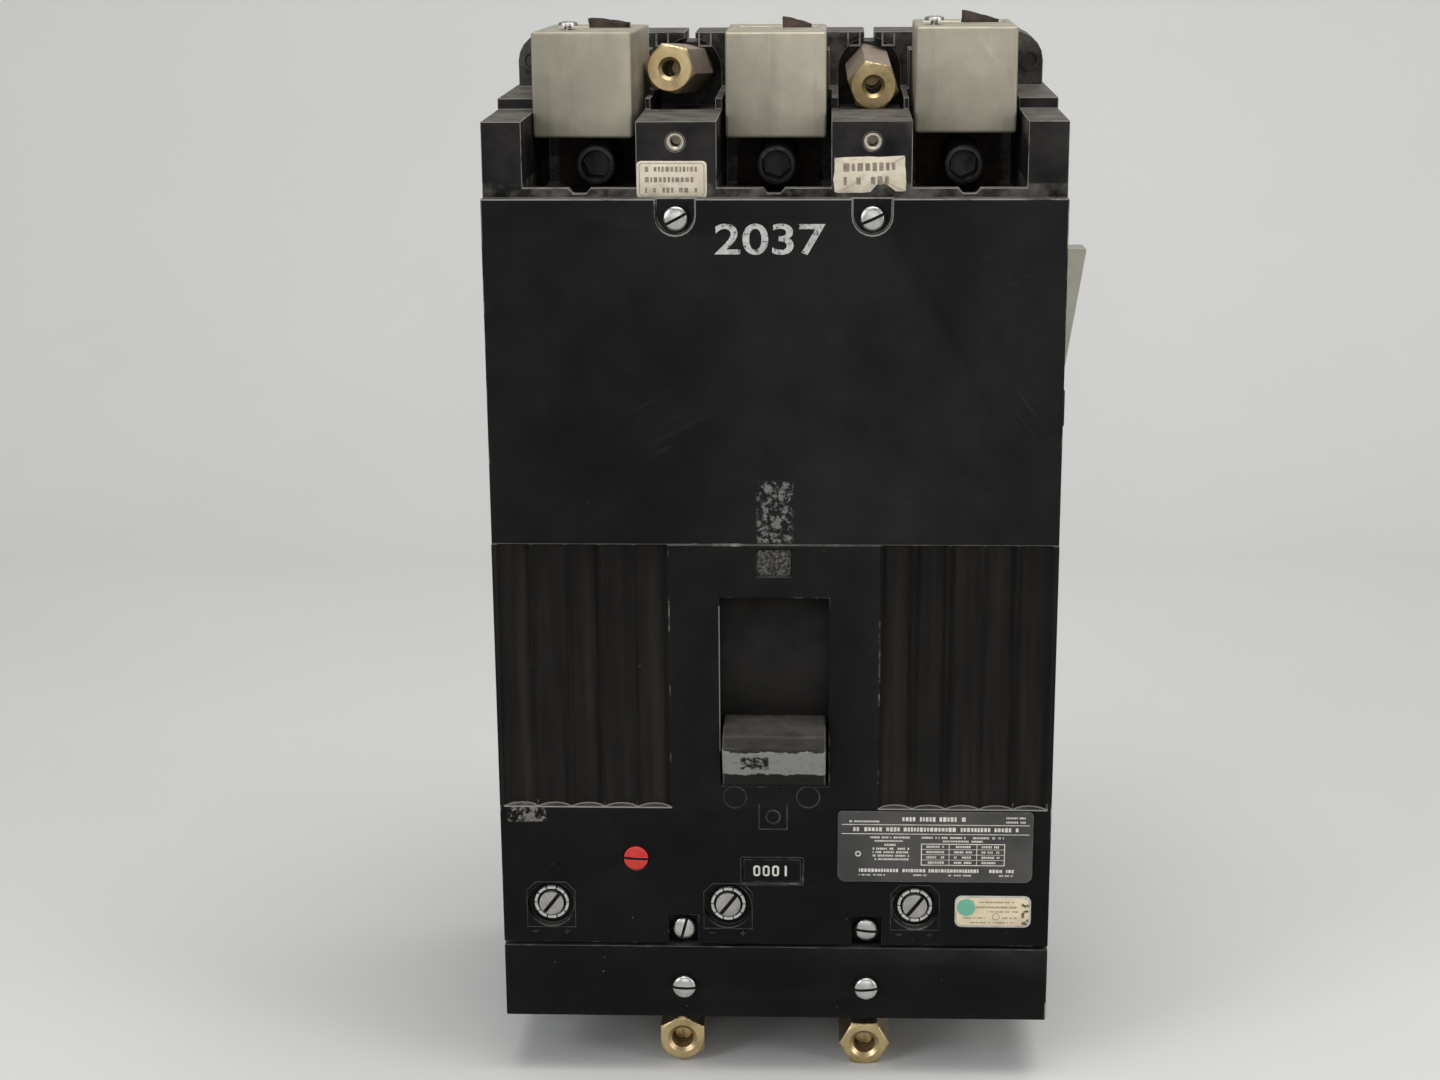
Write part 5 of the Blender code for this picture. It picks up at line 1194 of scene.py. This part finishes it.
# paper labels on the posts: a thin slab whose outline is frayed by a seeded wander of its points
labels = {
    "left": {"x": (-49.2 * mm, -24.0 * mm), "z": (144.8 * mm, 158.1 * mm), "radius": 1.6 * mm, "turn": 0.0,
             "rows": [(0.22, 1.9), (0.5, 1.9), (0.78, 1.9)], "fray": 0.05 * mm, "border": True},
    "right": {"x": (21.8 * mm, 46.8 * mm), "z": (146.9 * mm, 159.4 * mm), "radius": 0.5 * mm, "turn": 1.2,
              "rows": [(0.33, 3.0), (0.72, 3.0)], "fray": 0.22 * mm, "border": False},
}
postFront = boxAt("base_case")[1][1]


def paperLabel(side):
    spec = labels[side]
    (x0, x1), (z0, z1) = spec["x"], spec["z"]
    centre, size = ((x0 + x1) / 2, (z0 + z1) / 2), (x1 - x0, z1 - z0)
    outline = rectangle(centre, size, spec["radius"])
    ahead = np.roll(outline, -1, axis=0)
    outline = np.concatenate([np.linspace(a, b, 8, endpoint=False) for a, b in zip(outline, ahead)])
    count = len(outline)
    rng = np.random.default_rng(7 if side == "left" else 11)
    wander = np.convolve(np.tile(rng.normal(size=count), 3), np.ones(4) / 4, "same")[count:2 * count]
    outward = (outline - centre) / np.linalg.norm(outline - centre, axis=1)[:, None]
    outline = outline + outward * wander[:, None] * spec["fray"] * 2
    if side == "right":  # torn away at the foot, right of the middle
        torn = np.exp(-(((outline[:, 0] - 38.5 * mm) / (2.6 * mm)) ** 2)) * (outline[:, 1] < centre[1])
        outline[:, 1] += torn * 4.2 * mm
    paper = slab(outline, postFront - 0.16 * mm, postFront + 0.02 * mm, 0.03 * mm, "Y", 3)
    pieces = rotatedInPlane([paper], centre, spec["turn"])
    mesh = gridsMesh(f"{side}Paper", pieces, wrapColumns=True)
    addPiece(f"paper_label_{side}", mesh, "case", "oldPaper", sharp=40)
    seat, proud = postFront - 0.15 * mm, 0.05 * mm
    ink = []
    for row, (share, height) in enumerate(spec["rows"]):
        xa, xb, z = x0 + 0.12 * size[0], x1 - 0.14 * size[0], z0 + share * size[1]
        ink += printRow(xa, xb, z, height * mm, seat, proud, row + 3)
    if spec["border"]:
        border = rectangle(centre, (size[0] - 2.0 * mm, size[1] - 1.6 * mm), 1.2 * mm)
        ink.append(ridge(border, 0.22 * mm, seat, seat - proud))
    ink = rotatedInPlane(ink, centre, spec["turn"])
    mesh = gridsMesh(f"{side}Ink", ink, wrapColumns=True)
    addPiece(f"label_print_{side}", mesh, "case", "brownInk")


def paperLayers(tree, colour, rough, height):
    # brown stains and black finger dirt
    stain = ramp(tree, noise(tree, 210, detail=7, rough=0.7, shift=2.1), 0.46, 0.78)
    colour = mix(tree, times(tree, stain, 0.6), colour, (0.33, 0.26, 0.17))
    dirt = ramp(tree, noise(tree, 330, detail=8, rough=0.8, shift=6.9), 0.60, 0.70)
    colour = mix(tree, times(tree, dirt, 0.5), colour, (0.12, 0.10, 0.08))
    return colour, rough, height


materials["oldPaper"] = finishMaterial("oldPaper", {
    "colour": (0.66, 0.60, 0.48), "second": (0.56, 0.49, 0.37), "mottle": 130, "rough": 0.8, "grain": 1800,
    "grainDepth": 0.00008,
}, paperLayers)
materials["brownInk"] = finishMaterial("brownInk", {
    "colour": (0.16, 0.13, 0.10), "second": (0.30, 0.25, 0.19), "mottle": 500, "rough": 0.75,
})
for side in labels:
    paperLabel(side)
print("labels made")


# nameplate: a grey rounded plate with a light rim, rules, a table and rows of print
plate = {
    "corner": 3.0 * mm, "topCorner": 1.6 * mm, "edge": 0.22 * mm, "rule": 0.28 * mm,
    "table": ((-0.07, 0.355), (0.245, 0.545)),  # X and Z shares of the plate, from its middle and its foot
    "seed": 20,
}


def nameplate():
    middle, low, high = boxAt("nameplate")
    x0, x1, z0, z1 = low[0], high[0], low[2], high[2]
    wide, tall = x1 - x0, z1 - z0
    corners = [(x0, z0), (x1, z0), (x1, z1), (x0, z1)]
    foot, top = plate["corner"], plate["topCorner"]
    outline = roundedOutline(corners, [foot, foot, top, top], 7)
    grid = slab(outline, low[1], high[1], plate["edge"], "Y", 4)
    mesh = gridsMesh("nameplateSheet", [grid], wrapColumns=True)
    addPiece("nameplate_sheet", mesh, "case", "greyPlate", ("nameplate",), sharp=35)
    seat, proud = low[1] + 0.01 * mm, 0.04 * mm

    def at(u, v):
        return middle[0] + u * wide, z0 + v * tall

    ink = []
    for v in (0.815, 0.685):
        ink.append(ridge([at(-0.48, v), at(0.48, v)], plate["rule"], seat, seat - proud, False))
    (u0, u1), (v0, v1) = plate["table"]
    uLines, vLines = np.linspace(u0, u1, 4), v0 + (v1 - v0) * np.array([0, 0.25, 0.5, 0.75, 1])
    ink.append(ridge([at(u0, v0), at(u1, v0), at(u1, v1), at(u0, v1)], 0.34 * mm, seat, seat - proud))
    ink += [ridge([at(u, v0), at(u, v1)], 0.26 * mm, seat, seat - proud * 1.1, False) for u in uLines[1:3]]
    ink += [ridge([at(u0, v), at(u1, v)], 0.18 * mm, seat, seat - proud * 1.2, False) for v in vLines[1:4]]
    # from and to along the plate, height up it, size of print
    rows = [(-0.17, 0.18, 0.895, 1.9), (-0.44, -0.28, 0.86, 0.8), (0.36, 0.46, 0.92, 0.8),
            (0.36, 0.46, 0.86, 0.8), (-0.42, 0.43, 0.75, 1.75), (-0.34, -0.13, 0.635, 0.85),
            (-0.31, -0.16, 0.585, 0.7), (-0.26, -0.20, 0.53, 0.95), (-0.32, -0.13, 0.475, 0.9),
            (-0.32, -0.13, 0.425, 0.85), (-0.32, -0.13, 0.375, 0.85), (-0.32, -0.13, 0.325, 0.85),
            (-0.07, 0.35, 0.635, 0.85), (0.04, 0.25, 0.585, 0.8), (-0.39, 0.41, 0.165, 1.45),
            (-0.39, -0.25, 0.10, 0.65),
            (-0.11, -0.04, 0.10, 0.65), (0.07, 0.19, 0.10, 0.65), (0.33, 0.41, 0.10, 0.65)]
    for i, (a, b, v, size) in enumerate(rows):
        (xa, z), (xb, _) = at(a, v), at(b, v)
        ink += printRow(xa, xb, z, size * mm, seat, proud, plate["seed"] + i, 0.22)
    for column in range(3):
        for row in range(4):
            a, b = uLines[column] + 0.025, uLines[column + 1] - 0.025
            (xa, z), (xb, _) = at(a, (vLines[row] + vLines[row + 1]) / 2), at(b, 0)
            ink += printRow(xa, xb, z, 0.95 * mm, seat, proud, 60 + column * 4 + row, 0.22)
    ink.append(ridge(circle(at(-0.395, 0.40), 0.9 * mm, 20), 0.5 * mm, seat, seat - proud))
    mesh = gridsMesh("nameplateInk", ink, wrapColumns=True)
    addPiece("nameplate_print", mesh, "case", "plateInk", sharp=35)


nameplate()


# sticker: a bright rounded backing, a cream panel on it, a green dot and faint rows of print
sticker = {
    "x": (68.9 * mm, 98.0 * mm), "z": (-133.5 * mm, -120.5 * mm), "radius": 2.6 * mm, "rim": 0.85 * mm,
    "dot": (-10.2 * mm, 1.7 * mm, 3.5 * mm), "thickness": 0.25 * mm,
}


def approvalSticker():
    (x0, x1), (z0, z1) = sticker["x"], sticker["z"]
    centre, size = ((x0 + x1) / 2, (z0 + z1) / 2), (x1 - x0, z1 - z0)
    front = caseFront - sticker["thickness"]
    outline = rectangle(centre, size, sticker["radius"])
    backing = slab(outline, front, caseFront + 0.03 * mm, 0.12 * mm, "Y", 4)
    mesh = gridsMesh("stickerBacking", [backing], wrapColumns=True)
    addPiece("sticker_backing", mesh, "case", "stickerSilver", sharp=35)
    inner = (size[0] - 2 * sticker["rim"], size[1] - 2 * sticker["rim"])
    outline = rectangle(centre, inner, sticker["radius"] - 0.8 * mm)
    panel = slab(outline, front - 0.03 * mm, front + 0.02 * mm, 0.02 * mm, "Y", 3)
    addPiece("sticker_panel", gridsMesh("stickerPanel", [panel], wrapColumns=True), "case",
             "stickerCream", sharp=35)
    seat, proud = front - 0.02 * mm, 0.04 * mm
    ink = []
    # from and to along the sticker, height up it, size of print
    rows = [(-0.18, 0.28, 0.80, 0.7), (-0.22, 0.32, 0.64, 0.85), (-0.1, 0.34, 0.5, 0.7),
            (-0.38, -0.1, 0.30, 0.6), (0.12, 0.34, 0.30, 0.7), (-0.3, 0.3, 0.15, 0.6)]
    for i, (a, b, v, height) in enumerate(rows):
        xa, xb, z = centre[0] + a * size[0], centre[0] + b * size[0], z0 + v * size[1]
        ink += printRow(xa, xb, z, height * mm, seat, proud, 90 + i)
    ink.append(ridge(circle((centre[0] + 1.2 * mm, z0 + 0.34 * size[1]), 1.3 * mm, 24), 0.22 * mm, seat,
                     seat - proud))
    addPiece("sticker_print", gridsMesh("stickerInk", ink, wrapColumns=True), "case",
             "brownInk")


def stickerLayers(tree, colour, rough, height):
    # the green dot, its rim ragged, fills the left end; the right end is rubbed through to black
    (x0, x1), (z0, z1) = sticker["x"], sticker["z"]
    centre = ((x0 + x1) / 2, (z0 + z1) / 2)
    x, _, z = axisParts(tree)
    dx, dz, radius = sticker["dot"]
    fromX = minus(tree, x, centre[0] + dx)
    fromZ = minus(tree, z, centre[1] + dz)
    far = calc(tree, "SQRT", plus(tree, times(tree, fromX, fromX), times(tree, fromZ, fromZ)))
    ragged = plus(tree, far, times(tree, noise(tree, 600, detail=5, shift=2.5), 0.9 * mm))
    dot = ramp(tree, ragged, radius + 0.3 * mm, radius + 0.75 * mm, 1.0, 0.0)
    colour = mix(tree, dot, colour, (0.13, 0.37, 0.26))
    end = ramp(tree, x, centre[0] + 10.4 * mm, centre[0] + 11.6 * mm)
    flake = ramp(tree, noise(tree, 380, detail=6, rough=0.7, shift=4.4), 0.50, 0.55)
    colour = mix(tree, times(tree, end, flake), colour, (0.02, 0.015, 0.012))
    return colour, rough, height


materials["stickerCream"] = finishMaterial("stickerCream", {
    "colour": (0.68, 0.58, 0.40), "second": (0.58, 0.48, 0.32), "mottle": 190, "rough": 0.5, "grain": 2500,
}, stickerLayers)
materials["stickerSilver"] = finishMaterial("stickerSilver", {
    "colour": (0.55, 0.54, 0.51), "second": (0.38, 0.37, 0.35), "mottle": 240, "rough": 0.35, "metallic": 0.6,
    "scratch": 0.5, "scratchColour": (0.2, 0.2, 0.19),
})
approvalSticker()


# rating window: a black plate in a recess, with four white marks for its figures
def ratingPlate():
    middle, low, high = boxAt("rating_plate")
    outline = rectangle((middle[0], middle[2]), (high[0] - low[0], high[2] - low[2]), 0.5 * mm)
    mesh = gridsMesh("ratingSheet", [slab(outline, low[1], high[1], 0.12 * mm, "Y", 3)], wrapColumns=True)
    addPiece("rating_sheet", mesh, "case", "agedPhenolic", ("rating_plate",), sharp=35)
    seat, proud = low[1] + 0.01 * mm, 0.05 * mm
    ink = []
    for x in (-5.9, -2.3, 1.3):  # three plain rings, then an upright, as figures would stand
        ink.append(ridge(rectangle((middle[0] + x * mm, middle[2]), (1.9 * mm, 3.6 * mm), 0.7 * mm),
                         0.75 * mm, seat, seat - proud))
    ink.append(ridge([(middle[0] + 5.2 * mm, middle[2] - 2.1 * mm),
                      (middle[0] + 5.2 * mm, middle[2] + 2.1 * mm)],
                     0.8 * mm, seat, seat - proud, False))
    addPiece("rating_print", gridsMesh("ratingInk", ink, wrapColumns=True), "case",
             "plateInk")
    # a thin lip round the recess, coloured lighter: a painted highlight
    outer = rectangle((middle[0], middle[2]), (24.0 * mm, 11.4 * mm), 0.8 * mm)
    lip = [ridge(outer, 0.35 * mm, caseFront + 0.05 * mm, caseFront - 0.12 * mm)]
    addPiece("window_lip", gridsMesh("windowLip", lip, wrapColumns=True), "case",
             "highlitRaisedPhenolic")


ratingPlate()
print("plates and sticker made")


# a painted number on the upper cover, in the built-in face, thin enough to sit on the surface
assetNumber = {"text": "2037", "x": (-21.0 * mm, 18.5 * mm), "z": (125.4 * mm, 136.6 * mm),
               "thickness": 0.06 * mm}


def paintedNumber():
    curve = bpy.data.curves.new("assetNumber", "FONT")
    curve.body = assetNumber["text"]
    curve.extrude = 1
    curve.offset = 0.012
    letters = bpy.data.objects.new("assetNumber", curve)
    bpy.context.scene.collection.objects.link(letters)
    mesh = bpy.data.meshes.new_from_object(letters.evaluated_get(bpy.context.evaluated_depsgraph_get()))
    bpy.data.objects.remove(letters)
    spots = np.zeros(len(mesh.vertices) * 3)
    mesh.vertices.foreach_get("co", spots)
    spots = spots.reshape(-1, 3)
    low, span = spots.min(0), np.ptp(spots, axis=0)
    (x0, x1), (z0, z1) = assetNumber["x"], assetNumber["z"]
    x = x0 + (spots[:, 0] - low[0]) / span[0] * (x1 - x0)
    z = z0 + (spots[:, 1] - low[1]) / span[1] * (z1 - z0)
    y = upperFront + 0.02 * mm - (spots[:, 2] - low[2]) / span[2] * assetNumber["thickness"]
    mesh.vertices.foreach_set("co", np.stack([x, y, z], axis=-1).ravel())
    work = bmesh.new()
    work.from_mesh(mesh)
    bmesh.ops.remove_doubles(work, verts=work.verts, dist=1e-6)
    bmesh.ops.recalc_face_normals(work, faces=work.faces)
    work.to_mesh(mesh)
    work.free()
    addPiece("painted_number", mesh, "case", "wornPaint", sharp=35)


def paintLayers(tree, colour, rough, height):
    gone = ramp(tree, noise(tree, 620, detail=7, rough=0.8, shift=3.9), 0.53, 0.60)
    return mix(tree, gone, colour, (0.02, 0.02, 0.02)), rough, height


materials["wornPaint"] = finishMaterial("wornPaint", {
    "colour": (0.50, 0.50, 0.48), "second": (0.34, 0.34, 0.32), "mottle": 380, "rough": 0.7,
}, paintLayers)
paintedNumber()


# CAD nodes that stay as they are, each with its finish
kept = {
    "grimyCopper": ("line_terminal_", "load_terminal_"),
    "bareCopper": ("contact_arm_",),
    "oiledSteel": ("handle_yoke", "toggle_spring_", "cradle", "cradle_link", "crossbar_link", "knee_pin",
                   "mechanism_frame",
                   "trip_bar", "trip_latch", "trip_button_spring"),
    "agedPhenolic": ("crossbar", "trip_unit_housing"),
    "fibreBoard": ("arc_chute_",),
    "brightZinc": ("side_bracket_screw",),
}
for finish, starts in kept.items():
    for node, item in nodes.items():
        named = node in starts or any(start.endswith("_") and node.startswith(start) for start in starts)
        if named and not item.hide_render:
            item.data.materials.clear()
            item.data.materials.append(materials[finish])
            item["finish"] = finish
bare = [node for node, item in nodes.items() if not item.hide_render and "finish" not in item]
print("CAD nodes without a finish:", bare)


# floor and backdrop in one sheet: flat, then an arc up into the wall
def makeBackdrop():
    floorLevel = Vector(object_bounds()[0]).z
    bend, back, height = studio["bend"], studio["wallBack"], studio["wallHeight"]
    a = np.linspace(0, np.pi / 2, 24)
    y = np.concatenate([[-studio["floorReach"], -0.5], back - bend + bend * np.sin(a), [back]])
    z = np.concatenate([[0, 0], bend - bend * np.cos(a), [height]]) + floorLevel
    x = np.linspace(-studio["floorReach"], studio["floorReach"], 3)
    grid = np.stack([np.broadcast_to(x, (len(y), 3)), np.broadcast_to(y[:, None], (len(y), 3)),
                     np.broadcast_to(z[:, None], (len(y), 3))], axis=-1)
    sheet = gridsMesh("backdrop", [grid])
    if sheet.polygons[0].normal.z < 0:
        sheet.flip_normals()
    sheet.shade_smooth()
    backdrop = bpy.data.objects.new("backdrop", sheet)
    bpy.context.scene.collection.objects.link(backdrop)
    material, tree = newMaterial("paleFloor")
    tone = mix(tree, ramp(tree, noise(tree, 3, detail=4), 0.3, 0.7), studio["floorColour"],
               tuple(c * 0.97 for c in studio["floorColour"]))
    shader = tree.nodes["Principled BSDF"]
    tree.links.new(tone, shader.inputs["Base Color"])
    shader.inputs["Roughness"].default_value = 0.75
    shader.inputs["Specular IOR Level"].default_value = 0.3
    sheet.materials.append(material)


makeBackdrop()
bpy.context.view_layer.update()
